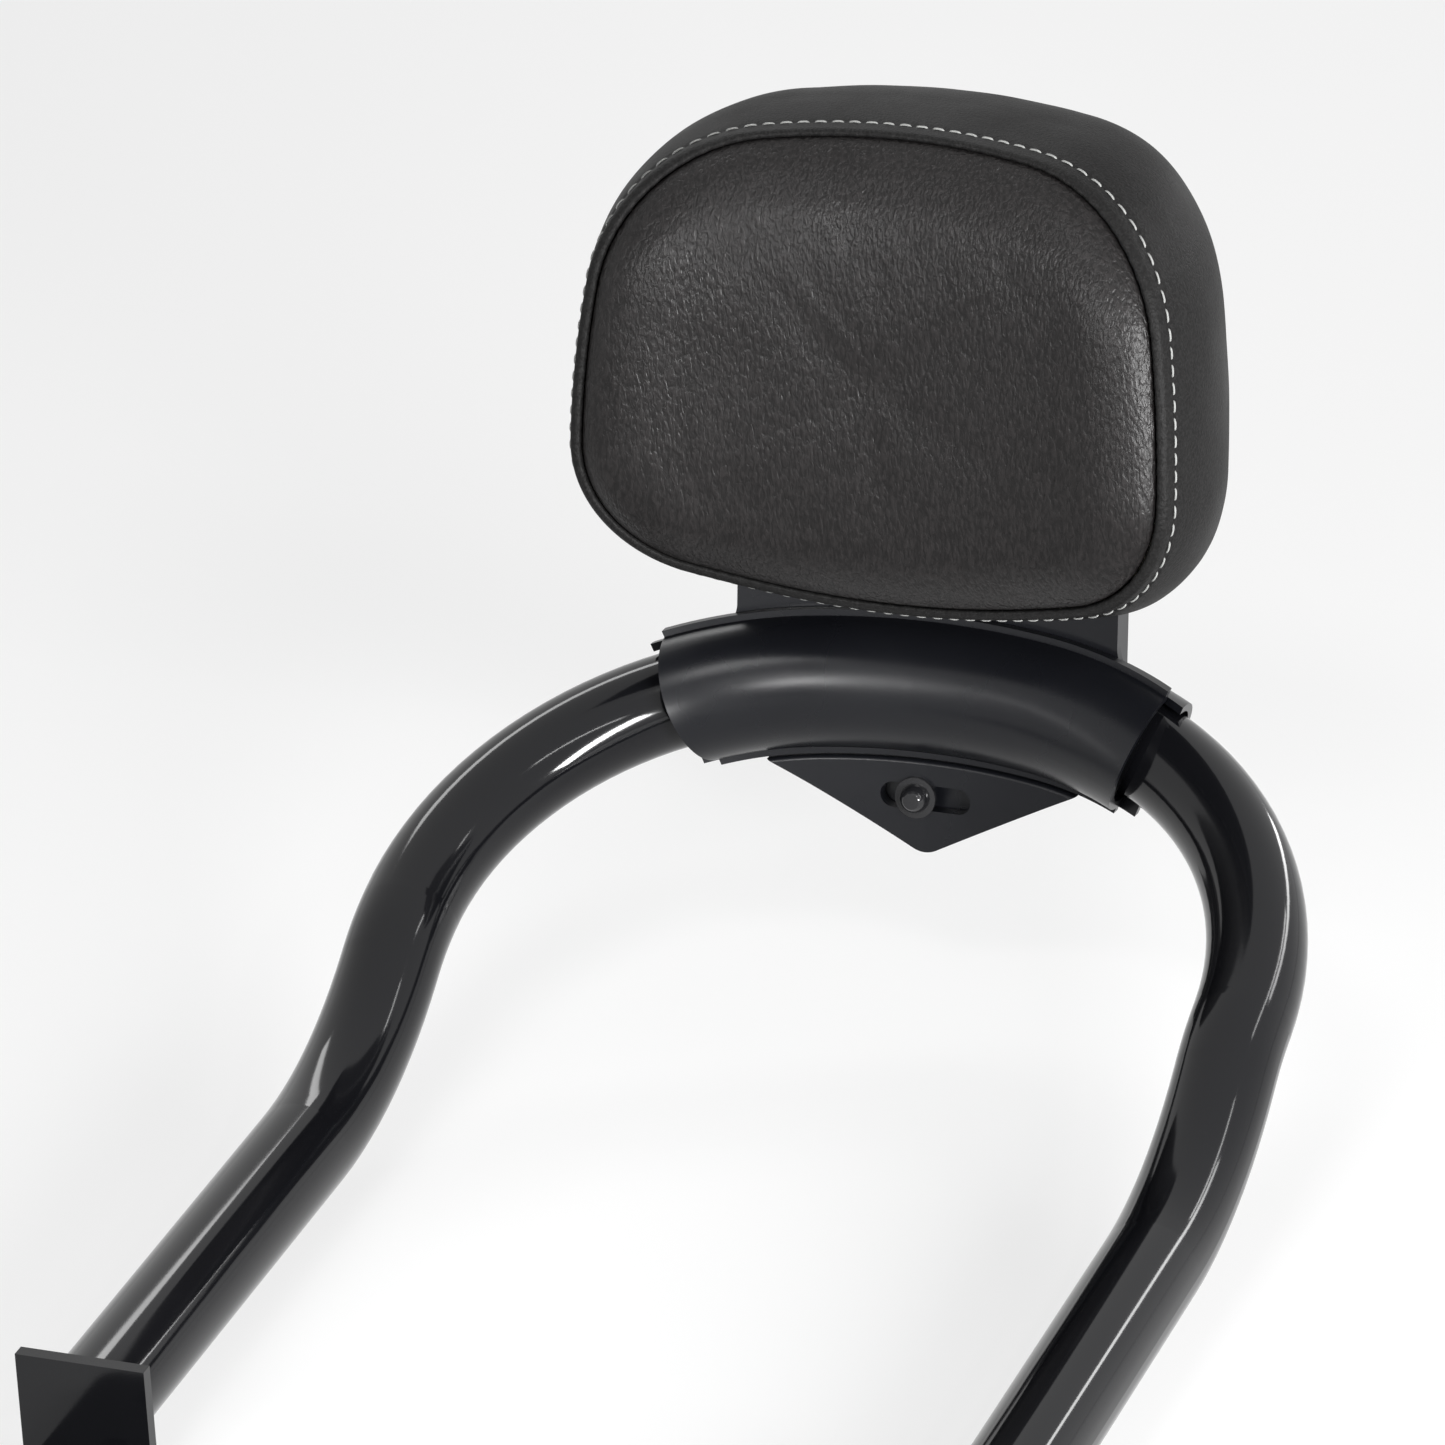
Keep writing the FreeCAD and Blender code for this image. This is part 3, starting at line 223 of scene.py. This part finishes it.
def leather(name, low, high, rough, grain, stretch, depth, level):
    # wavy ridges over finer pebbles, with a slow swell under them
    material, tree, shader, vector = newMaterial(name)
    link = tree.links.new
    ridges = node(tree, "ShaderNodeTexNoise", Scale=grain, Detail=2.0, Roughness=0.45, Distortion=0.5)
    link(mapped(tree, vector, stretch), ridges.inputs["Vector"])
    pebbles = node(tree, "ShaderNodeTexVoronoi", feature="SMOOTH_F1", Scale=grain * 0.9, Smoothness=0.3)
    link(mapped(tree, vector, [(1 + part) / 2 for part in stretch]), pebbles.inputs["Vector"])
    broad = node(tree, "ShaderNodeTexNoise", Scale=26.0, Detail=3.0)
    link(vector, broad.inputs["Vector"])
    height = node(tree, "ShaderNodeMapRange", From_Min=0.32, From_Max=0.68)
    link(ridges.outputs["Fac"], height.inputs["Value"])
    mixed = node(tree, "ShaderNodeMath", operation="MULTIPLY_ADD")
    link(pebbles.outputs["Distance"], mixed.inputs[0])
    mixed.inputs[1].default_value = -0.45
    link(height.outputs["Result"], mixed.inputs[2])
    bump = node(tree, "ShaderNodeBump", Strength=0.8, Distance=depth)
    link(mixed.outputs["Value"], bump.inputs["Height"])
    swell = node(tree, "ShaderNodeBump", Strength=0.3, Distance=0.0008)
    link(broad.outputs["Fac"], swell.inputs["Height"])
    link(swell.outputs["Normal"], bump.inputs["Normal"])
    link(bump.outputs["Normal"], shader.inputs["Normal"])
    ramp = node(tree, "ShaderNodeValToRGB")
    ramp.color_ramp.elements[0].position = 0.0
    ramp.color_ramp.elements[0].color = (*low, 1)
    ramp.color_ramp.elements[1].position = 0.75
    ramp.color_ramp.elements[1].color = (*high, 1)
    link(mixed.outputs["Value"], ramp.inputs["Fac"])
    link(ramp.outputs["Color"], shader.inputs["Base Color"])
    link(uneven(tree, broad.outputs["Fac"], rough - 0.04, rough + 0.07), shader.inputs["Roughness"])
    shader.inputs["Specular IOR Level"].default_value = level
    return material


def coated(name, colour, rough, peel, level=0.5):
    # a matt or glossy coat with a faint orange peel, slightly uneven in gloss and tone
    material, tree, shader, vector = newMaterial(name)
    link = tree.links.new
    skin = node(tree, "ShaderNodeTexNoise", Scale=900.0, Detail=2.0)
    link(vector, skin.inputs["Vector"])
    broad = node(tree, "ShaderNodeTexNoise", Scale=18.0, Detail=4.0)
    link(vector, broad.inputs["Vector"])
    bump = node(tree, "ShaderNodeBump", Strength=0.3, Distance=peel)
    link(skin.outputs["Fac"], bump.inputs["Height"])
    link(bump.outputs["Normal"], shader.inputs["Normal"])
    link(uneven(tree, broad.outputs["Fac"], rough * 0.85, rough * 1.2), shader.inputs["Roughness"])
    link(toned(tree, broad.outputs["Fac"], colour, 0.85, 1.2), shader.inputs["Base Color"])
    shader.inputs["Specular IOR Level"].default_value = level
    return material


def metal(name, colour, rough):
    # drawn metal, its fine streaks along the height
    material, tree, shader, vector = newMaterial(name)
    link = tree.links.new
    shader.inputs["Metallic"].default_value = 1.0
    grain = node(tree, "ShaderNodeTexNoise", Scale=1400.0, Detail=3.0)
    link(mapped(tree, vector, (1, 1, 0.15)), grain.inputs["Vector"])
    link(uneven(tree, grain.outputs["Fac"], rough * 0.8, rough * 1.25), shader.inputs["Roughness"])
    link(toned(tree, grain.outputs["Fac"], colour, 0.8, 1.0), shader.inputs["Base Color"])
    bump = node(tree, "ShaderNodeBump", Strength=0.2, Distance=0.00005)
    link(grain.outputs["Fac"], bump.inputs["Height"])
    link(bump.outputs["Normal"], shader.inputs["Normal"])
    return material


faceLeather = leather("faceLeather", low=(0.0062, 0.0056, 0.0056), high=(0.0132, 0.0119, 0.0119), rough=0.34,
                      grain=780.0, stretch=(1.0, 1.0, 0.36), depth=0.00025, level=0.20)
bandLeather = leather("bandLeather", low=(0.0080, 0.0078, 0.0078), high=(0.0138, 0.0135, 0.0135), rough=0.48,
                      grain=1100.0, stretch=(1.0, 1.0, 0.8), depth=0.00014, level=0.075)
glossBlack = coated("glossBlack", (0.0035, 0.0036, 0.0044), rough=0.09, peel=0.00001, level=0.32)
satinBlack = coated("satinBlack", (0.0045, 0.0048, 0.0062), rough=0.28, peel=0.00005, level=0.28)
boltBlack = coated("boltBlack", (0.008, 0.008, 0.009), rough=0.14, peel=0.00001, level=0.6)
linerRubber = coated("linerRubber", (0.012, 0.012, 0.012), rough=0.7, peel=0.0001, level=0.3)
plainWood = coated("plainWood", (0.36, 0.25, 0.14), rough=0.6, peel=0.0001)
paleFoam = coated("paleFoam", (0.55, 0.52, 0.42), rough=0.9, peel=0.0002)
paleThread = coated("paleThread", (0.25, 0.252, 0.246), rough=0.75, peel=0.0001, level=0.2)
teeNutSteel = metal("teeNutSteel", (0.55, 0.55, 0.54), rough=0.35)
print("materials ready")

# the pad's side band: profile keys are (outwards from the seam, rearwards from the seam plane)
bandPiece = {"pitch": 6.0, "perStitch": 8, "rowStep": 1.7, "keys": [
    (-1.6, 5.4), (-1.1, 3.6), (-0.6, 1.9), (-0.15, 0.65), (0.4, 0.0), (1.05, -0.15), (1.75, 0.3), (2.3, 1.4),
    (2.85, 3.3), (3.5, 5.8), (4.3, 8.4), (5.1, 11.2), (6.1, 15.0), (7.4, 20.5), (8.7, 27.0), (9.5, 33.5),
    (9.8, 40.0), (9.5, 47.5), (8.6, 54.5), (7.2, 60.5), (5.2, 66.0), (2.5, 71.2), (-0.9, 75.6), (-4.9, 79.0),
    (-9.4, 81.2), (-13.4, 82.1), (-15.3, 82.0), (-16.1, 81.0), (-16.5, 80.2), (-17.2, 79.75), (-18.6, 79.6)],
    # the stitch row's place and dimples, the pucker at the fold, a slow swell, and the upright's way in
    "stitchOut": 4.3, "stitchDepth": 8.4, "row": 0.22, "dimple": 0.26, "rowWidth": 1.3,
    "pucker": 0.13, "puckerWidth": 1.2, "fold": (1.1, 0.1), "reach": 4, "swell": 0.35, "swellStart": 6, "swellRun": 14,
    "swellGrain": (0.045, 0.05), "slot": (49.3, 55.8, 63.7), "slotHalf": 72.0, "slotWall": 66.5, "slotFacing": -0.8}
# how far the band moves out from the solid's profile: near the seam, over the top, at the lower corners
bandTrim = {"seam": 1.3, "topEarly": 1.3, "topLate": 1.5, "lowCorner": 0.6, "topSharpness": 7,
            "seamRun": 3.0, "earlyStart": 1.5, "earlyRun": 8.0, "lateStart": 8, "lateRun": 26.0,
            "cornerDown": 1.15, "cornerSide": 2.2}


def smoothCurve(keys, step):
    # points about step apart on a smooth curve through the keys
    fine = []
    for k in range(len(keys) - 1):
        a = Vector(keys[max(k - 1, 0)])
        b = Vector(keys[k])
        c = Vector(keys[k + 1])
        d = Vector(keys[min(k + 2, len(keys) - 1)])
        count = max(1, int(math.ceil((c - b).length / step)))
        for i in range(count):
            t = i / count
            fine.append(0.5 * (2 * b + (c - a) * t + (2 * a - 5 * b + 4 * c - d) * t * t
                               + (3 * b - a - 3 * c + d) * t ** 3))
    fine.append(Vector(keys[-1]))
    return fine


def bandRows():
    rows = smoothCurve(bandPiece["keys"], bandPiece["rowStep"])
    for depth in bandPiece["slot"]:
        near = min(rows, key=lambda p: abs(p.y - depth) if p.x > 0 else 1e6)
        near.y = depth
    return rows


def outwardTrim(nx, nz, depth):
    # the strip stands out beside and below the face, and the band lies closer over the top
    trim = bandTrim
    top = max(nz, 0) ** trim["topSharpness"]
    near = min(max(depth, 0) / trim["seamRun"], 1)
    early = min(max(depth - trim["earlyStart"], 0) / trim["earlyRun"], 1)
    late = min(max(depth - trim["lateStart"], 0) / trim["lateRun"], 1)
    lowCorner = min(max(-nz * trim["cornerDown"], 0) * abs(nx) * trim["cornerSide"], 1)
    return (trim["seam"] * (1 - top) * near - trim["topEarly"] * top * early - trim["topLate"] * top * late
            + trim["lowCorner"] * lowCorner * late)


def buildBand():
    piece = bandPiece
    stitches = int(round(2 * sum(arcLengths()) / piece["pitch"]))
    loop = outlineLoop(stitches * piece["perStitch"])
    rows = bandRows()
    stitchAt = Vector((piece["stitchOut"], piece["stitchDepth"]))
    foldOut, foldDepth = piece["fold"]
    wide, deep = piece["swellGrain"]
    places = []
    for i, row in enumerate(rows):
        ring = []
        ahead = rows[min(i + 1, len(rows) - 1)] - rows[max(i - 1, 0)]
        ahead.normalize()
        inward = Vector((-ahead.y, ahead.x))
        fromStitch = (row - stitchAt).length
        fromFold = abs(row.y - foldDepth) + max(row.x - foldOut, 0) * 0.6
        inRow = math.exp(-(fromStitch / piece["rowWidth"]) ** 2) if fromStitch < piece["reach"] else 0.0
        inFold = math.exp(-(fromFold / piece["puckerWidth"]) ** 2) if fromFold < piece["reach"] else 0.0
        behind = min(max(row.y - piece["swellStart"], 0) / piece["swellRun"], 1)
        for k, (x, z, nx, nz) in enumerate(loop):
            wave = math.cos(2 * math.pi * k / piece["perStitch"])
            sink = inRow * (piece["row"] + piece["dimple"] * (0.5 - 0.5 * wave) ** 2)
            sink += inFold * piece["pucker"] * wave
            swell = noise.noise(Vector((x * wide, z * wide, row.y * deep))) * piece["swell"] * behind
            moved = row + inward * (sink - swell)
            moved.x += outwardTrim(nx, nz, row.y)
            ring.append(padPoint(x + nx * moved.x, moved.y, z + nz * moved.x))
        places.append(ring)
    low, middle, high = piece["slot"]

    def inSlot(r, k):
        # the upright's way in, from below
        depth = (rows[r].y + rows[r + 1].y) / 2
        x, z, nx, nz = loop[k]
        if nz > piece["slotFacing"] or abs(x) > piece["slotHalf"] or rows[r].x < 0:
            return False
        return low < depth < middle or (middle < depth < high and abs(x) > piece["slotWall"])

    mesh = skinMesh("pad_band", places, inSlot)
    obj = newObject("pad_band", mesh, bandLeather)
    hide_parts("pad_side_band")
    return stitches


stitchCount = buildBand()
print("band ready")

# the two panels: edge rows are (inset from the rim, depth), the rest shapes the swell from rim to middle
facePiece = {"columns": 168, "rings": 18, "limit": 42.0, "start": 0.0,
             "edge": [(1.5, 5.0), (0.8, 3.2), (0.35, 1.9)], "level": 1.0, "side": -1, "rise": 15.5,
             "roll": 26.0, "steep": 2.0, "blunt": 0.78, "crown": 3.5, "crownRun": 85.0, "pressure": 4.0,
             "cap": 1.8}
backPiece = {"columns": 144, "rings": 10, "limit": 28.0, "start": 16.1,
             "edge": [(0.6, 80.4), (0.5, 80.7), (0.3, 81.2)], "level": 81.6, "side": 1, "rise": 2.6,
             "roll": 24.0, "steep": 2.2, "blunt": 0.8, "crown": 1.2, "crownRun": 60.0, "pressure": 2.0,
             "cap": 1.6}
panelRings = {"rimGap": 0.05, "spread": 1.3, "shrinks": 9, "innerRun": 55}
puff = {"steps": 20, "quality": 5, "mass": 0.3, "stiffness": 15, "bending": 2.0}


def puffed(obj, pinned, pressure, cap):
    # air pressure under the cover, with the sewn rim held, each point moving at most cap metres
    group = obj.vertex_groups.new(name="rim")
    group.add(pinned, 1.0, "REPLACE")
    cloth = obj.modifiers.new("puff", "CLOTH")
    settings = cloth.settings
    settings.quality = puff["quality"]
    settings.mass = puff["mass"]
    settings.tension_stiffness = puff["stiffness"]
    settings.compression_stiffness = puff["stiffness"]
    settings.bending_stiffness = puff["bending"]
    settings.use_pressure = True
    settings.uniform_pressure_force = pressure
    settings.vertex_group_mass = "rim"
    settings.effector_weights.gravity = 0
    cloth.collision_settings.use_collision = False
    cloth.point_cache.frame_start = 1
    cloth.point_cache.frame_end = puff["steps"]
    for step in range(1, puff["steps"] + 1):
        scene.frame_set(step)
    shaped = obj.evaluated_get(bpy.context.evaluated_depsgraph_get())
    moves = [after.co - before.co for after, before in zip(shaped.data.vertices, obj.data.vertices)]
    obj.modifiers.remove(cloth)
    scene.frame_set(1)
    longest = max(move.length for move in moves)
    share = min(1.0, cap / max(longest, 1e-9))
    for vertex, move in zip(obj.data.vertices, moves):
        vertex.co += move * share
    obj.vertex_groups.remove(group)
    ahead = sum(move.y for move in moves) / len(moves)
    print("puffed", obj.name, "longest move %.1f mm, mean along y %.2f mm" % (longest * 1000, ahead * 1000))


def panelDepth(piece, inset):
    t = min(inset / piece["roll"], 1.0)
    u = min(inset / piece["crownRun"], 1.0)
    shoulder = (1 - (1 - t) ** piece["steep"]) ** piece["blunt"]
    return (piece["level"] + piece["side"] * piece["rise"] * shoulder
            + piece["side"] * piece["crown"] * (1 - (1 - u) ** 2))


def panelMesh(name, piece):
    # edge rows, rings inwards to the limit, then rings that shrink to the middle
    loop = outlineLoop(piece["columns"])
    start, limit, rings = piece["start"], piece["limit"], piece["rings"]
    first = piece["edge"][-1][0] - panelRings["rimGap"]

    def ringAt(inset, depth):
        return [padPoint(x - nx * (inset + start), depth, z - nz * (inset + start)) for x, z, nx, nz in loop]

    rows = [ringAt(inset, depth) for inset, depth in piece["edge"]]
    for r in range(rings + 1):
        inset = first + (r / rings) ** panelRings["spread"] * limit
        rows.append(ringAt(inset, panelDepth(piece, inset)))
    reach = first + limit + start
    centre = Vector((0, padPlace["middle"]))
    inner = [Vector((x - nx * reach, z - nz * reach)) for x, z, nx, nz in loop]
    shrinks = panelRings["shrinks"]
    for r in range(1, shrinks + 1):
        share = 1 - r / shrinks
        depth = panelDepth(piece, limit + (1 - share) * panelRings["innerRun"])
        spots = [centre + (p - centre) * share for p in inner]
        rows.append([padPoint(q.x, depth, q.y) for q in spots])
    return skinMesh(name, rows)


def buildPanel(name, piece, material, replaced):
    obj = newObject(name, panelMesh(name, piece), material)
    held = list(range(piece["columns"] * (len(piece["edge"]) + 1)))
    puffed(obj, held, piece["pressure"], piece["cap"] * 0.001)
    smooth = obj.modifiers.new("smooth", "SUBSURF")
    smooth.levels = 2
    smooth.render_levels = 2
    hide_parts(replaced)


buildPanel("pad_face", facePiece, faceLeather, "pad_face_panel")
buildPanel("pad_back", backPiece, bandLeather, "pad_back_panel")
print("panels ready")

# foam block inside the pad, clear of the cover: rows are (outwards from the seam, depth)
foamPiece = {"columns": 96, "rows": [
    (-30.0, 3.2), (-12.0, 3.2), (-4.0, 4.4), (-0.6, 8.0), (1.4, 13.0), (3.2, 19.0), (4.8, 26.0), (5.6, 34.0),
    (5.8, 43.9), (-30.0, 43.9)]}


def buildFoam():
    loop = outlineLoop(foamPiece["columns"])
    front, rear = foamPiece["rows"][0][1], foamPiece["rows"][-1][1]
    places = [[padPoint(0, front, padPlace["middle"])] * len(loop)]
    for out, depth in foamPiece["rows"]:
        ring = []
        for x, z, nx, nz in loop:
            reach = out + (min(outwardTrim(nx, nz, depth), 0) if out > 0 else 0)
            ring.append(padPoint(x + nx * reach, depth, z + nz * reach))
        places.append(ring)
    places.append([padPoint(0, rear, padPlace["middle"])] * len(loop))
    obj = newObject("pad_foam", skinMesh("pad_foam", places), paleFoam)
    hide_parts("foam_core")


buildFoam()
print("foam ready")

# topstitch: rounded threads laid end to end in a shallow row
thread = {"length": 4.4, "radius": 0.4, "sides": 8, "flat": 0.85, "tip": 0.6, "proud": 0.12, "dip": 0.8,
          "tilt": 0.25, "tiltStep": 2.7, "slope": (0.8, 2.6), "fullTo": 0.4, "loopPoints": 1440,
          "shares": (-0.5, -0.36, -0.18, 0, 0.18, 0.36, 0.5)}


def buildStitches():
    loop = outlineLoop(thread["loopPoints"])
    out, depth = bandPiece["stitchOut"], bandPiece["stitchDepth"]
    slope = Vector(thread["slope"]).normalized()  # the band's own slope at the row
    bm = bmesh.new()
    for k in range(stitchCount):
        spots = []
        tilt = thread["tilt"] * math.sin(k * thread["tiltStep"])
        for share in thread["shares"]:
            at = (k + share * thread["length"] / bandPiece["pitch"]) / stitchCount * len(loop)
            low = int(math.floor(at)) % len(loop)
            mixing = at - math.floor(at)
            a = loop[low]
            b = loop[(low + 1) % len(loop)]
            x, z, nx, nz = [a[i] * (1 - mixing) + b[i] * mixing for i in range(4)]
            sink = -thread["proud"] + thread["dip"] * (abs(share) * 2) ** 4
            across = tilt * share
            o = out + outwardTrim(nx, nz, depth) - slope.y * sink + slope.x * across
            d = depth + slope.x * sink + slope.y * across
            outward = Vector((nx * slope.y, -slope.x, nz * slope.y))
            spots.append((padPoint(x + nx * o, d, z + nz * o), outward, share))
        rows = [[spots[0][0]] * thread["sides"]]
        for i, (spot, up, share) in enumerate(spots):
            ahead = (spots[min(i + 1, len(spots) - 1)][0] - spots[max(i - 1, 0)][0]).normalized()
            side = ahead.cross(up).normalized()
            up = side.cross(ahead)
            radius = thread["radius"] * (1.0 if abs(share) < thread["fullTo"] else thread["tip"]) * 0.001
            turns = [2 * math.pi * t / thread["sides"] for t in range(thread["sides"])]
            rows.append([spot + side * math.cos(t) * radius + up * math.sin(t) * radius * thread["flat"]
                         for t in turns])
        rows.append([spots[-1][0]] * thread["sides"])
        layGrid(bm, rows)
    mesh = finishMesh(bpy.data.meshes.new("topstitch"), bm)
    newObject("topstitch", mesh, paleThread)


buildStitches()
print("topstitch ready")

# finishes of the nodes that stay
finishes = {"hoop_tube": glossBlack, "right_foot_plate": glossBlack, "left_foot_plate": glossBlack,
            "front_clamp_shell": satinBlack, "rear_clamp_bracket": satinBlack, "front_liner": linerRubber,
            "rear_liner": linerRubber, "slot_bolt": boltBlack, "slot_washer": boltBlack, "slot_nut": boltBlack,
            "clamp_screws": boltBlack, "pad_screws": boltBlack, "pad_washers": boltBlack,
            "tee_nuts": teeNutSteel, "back_foam": paleFoam, "base_board": plainWood}
for name, material in finishes.items():
    mesh = nodes[name].data
    mesh.materials.clear()
    mesh.materials.append(material)
print("finishes set")

# camera at the photograph's angle
view = {"azimuth": math.radians(21.70), "elevation": math.radians(26.51), "roll": math.radians(-3.09),
        "distance": 3.4461, "focal": 9623.1, "frame": 1445, "sensor": 36.0,
        "target": (-0.08109, 0.45317, 0.08826)}


def buildCamera():
    a, e, roll = view["azimuth"], view["elevation"], view["roll"]
    back = Vector((math.sin(a) * math.cos(e), -math.cos(a) * math.cos(e), math.sin(e)))
    right = Vector((math.cos(a), math.sin(a), 0))
    up = back.cross(right)
    x = right * math.cos(roll) + up * math.sin(roll)
    y = up * math.cos(roll) - right * math.sin(roll)
    data = bpy.data.cameras.new("camera")
    data.sensor_width = view["sensor"]
    data.sensor_height = view["sensor"]
    data.lens = view["focal"] / view["frame"] * view["sensor"]
    data.clip_end = 50
    camera = bpy.data.objects.new("camera", data)
    place = Matrix((x, y, back)).transposed().to_4x4()
    place.translation = Vector(view["target"]) + back * view["distance"]
    camera.matrix_world = place
    scene.collection.objects.link(camera)
    scene.camera = camera


buildCamera()
print("camera ready")

# floor, lamps and a pale world
studio = {"floorSize": 20, "floorTone": 0.28, "floorGlow": 0.63, "skyLight": 0.22, "skySeen": 1.0,
          "aim": (0, 0.43, 0.17)}
# each lamp: the directions of its two ends in degrees, its distance, width and power
lamps = {
    "front_high": ((-20, 57), (10, 57), 2.0, 0.30, 6.5),
    "front_slanted": ((-62, 4), (13, 33), 2.0, 0.05, 3),
    "front_left": ((-16, 20), (6, 17), 1.9, 0.30, 14),
    "right_front": ((36, 16), (68, 4), 1.9, 0.26, 72),
    "right_high": ((38, 32), (64, 46), 1.9, 0.04, 2.5),
    "right_rear": ((118, 31), (165, 3), 2.2, 0.12, 9),
    "right_side": ((96, 40), (140, 26), 2.2, 0.07, 4),
    "left_rear": ((195, 40), (240, 34), 2.2, 0.30, 9)}


def raySeen(tree, low, high):
    # high for what the camera, a gloss or a clear pane sees, and low for the light itself
    path = node(tree, "ShaderNodeLightPath")
    seen = node(tree, "ShaderNodeMath", operation="MAXIMUM")
    through = node(tree, "ShaderNodeMath", operation="MAXIMUM")
    strength = node(tree, "ShaderNodeMapRange", To_Min=low, To_Max=high)
    tree.links.new(path.outputs["Is Camera Ray"], seen.inputs[0])
    tree.links.new(path.outputs["Is Glossy Ray"], seen.inputs[1])
    tree.links.new(seen.outputs[0], through.inputs[0])
    tree.links.new(path.outputs["Is Transmission Ray"], through.inputs[1])
    tree.links.new(through.outputs[0], strength.inputs["Value"])
    return strength.outputs["Result"]


def buildFloor():
    bm = bmesh.new()
    bmesh.ops.create_grid(bm, x_segments=1, y_segments=1, size=studio["floorSize"])
    mesh = bpy.data.meshes.new("floor")
    bm.to_mesh(mesh)
    bm.free()
    material = bpy.data.materials.new("floorPaper")
    material.use_nodes = True
    tree = material.node_tree
    shader = tree.nodes["Principled BSDF"]
    tone = studio["floorTone"]
    shader.inputs["Base Color"].default_value = (tone, tone, tone, 1)
    shader.inputs["Roughness"].default_value = 0.9
    shader.inputs["Specular IOR Level"].default_value = 0.0
    shader.inputs["Emission Color"].default_value = (1, 1, 1, 1)
    glow = raySeen(tree, 0.0, studio["floorGlow"])
    tree.links.new(glow, shader.inputs["Emission Strength"])
    obj = bpy.data.objects.new("floor", mesh)
    mesh.materials.append(material)
    scene.collection.objects.link(obj)


buildFloor()


def around(azimuth, elevation, distance):
    # azimuth 0 is straight in front of the pad and grows to the right
    a, e = math.radians(azimuth), math.radians(elevation)
    x, y, z = studio["aim"]
    return Vector((x + math.sin(a) * math.cos(e) * distance, y - math.cos(a) * math.cos(e) * distance,
                   z + math.sin(e) * distance))


def strip(name, start, end, width, power):
    # a soft box stretched between two places and turned to the object
    data = bpy.data.lights.new(name, "AREA")
    data.shape = "RECTANGLE"
    data.size = (end - start).length
    data.size_y = width
    data.energy = power
    obj = bpy.data.objects.new(name, data)
    centre = (start + end) / 2
    along = (end - start).normalized()
    back = centre - Vector(studio["aim"])
    back = (back - along * back.dot(along)).normalized()
    place = Matrix((along, back.cross(along), back)).transposed().to_4x4()
    place.translation = centre
    obj.matrix_world = place
    scene.collection.objects.link(obj)


for name, (start, end, distance, width, power) in lamps.items():
    strip(name, around(*start, distance), around(*end, distance), width, power)


def buildWorld():
    world = bpy.data.worlds.new("studio")
    scene.world = world
    world.use_nodes = True
    tree = world.node_tree
    back = tree.nodes["Background"]
    tree.links.new(raySeen(tree, studio["skyLight"], studio["skySeen"]), back.inputs["Strength"])
    back.inputs["Color"].default_value = (1, 1, 1, 1)


buildWorld()
print("studio ready")
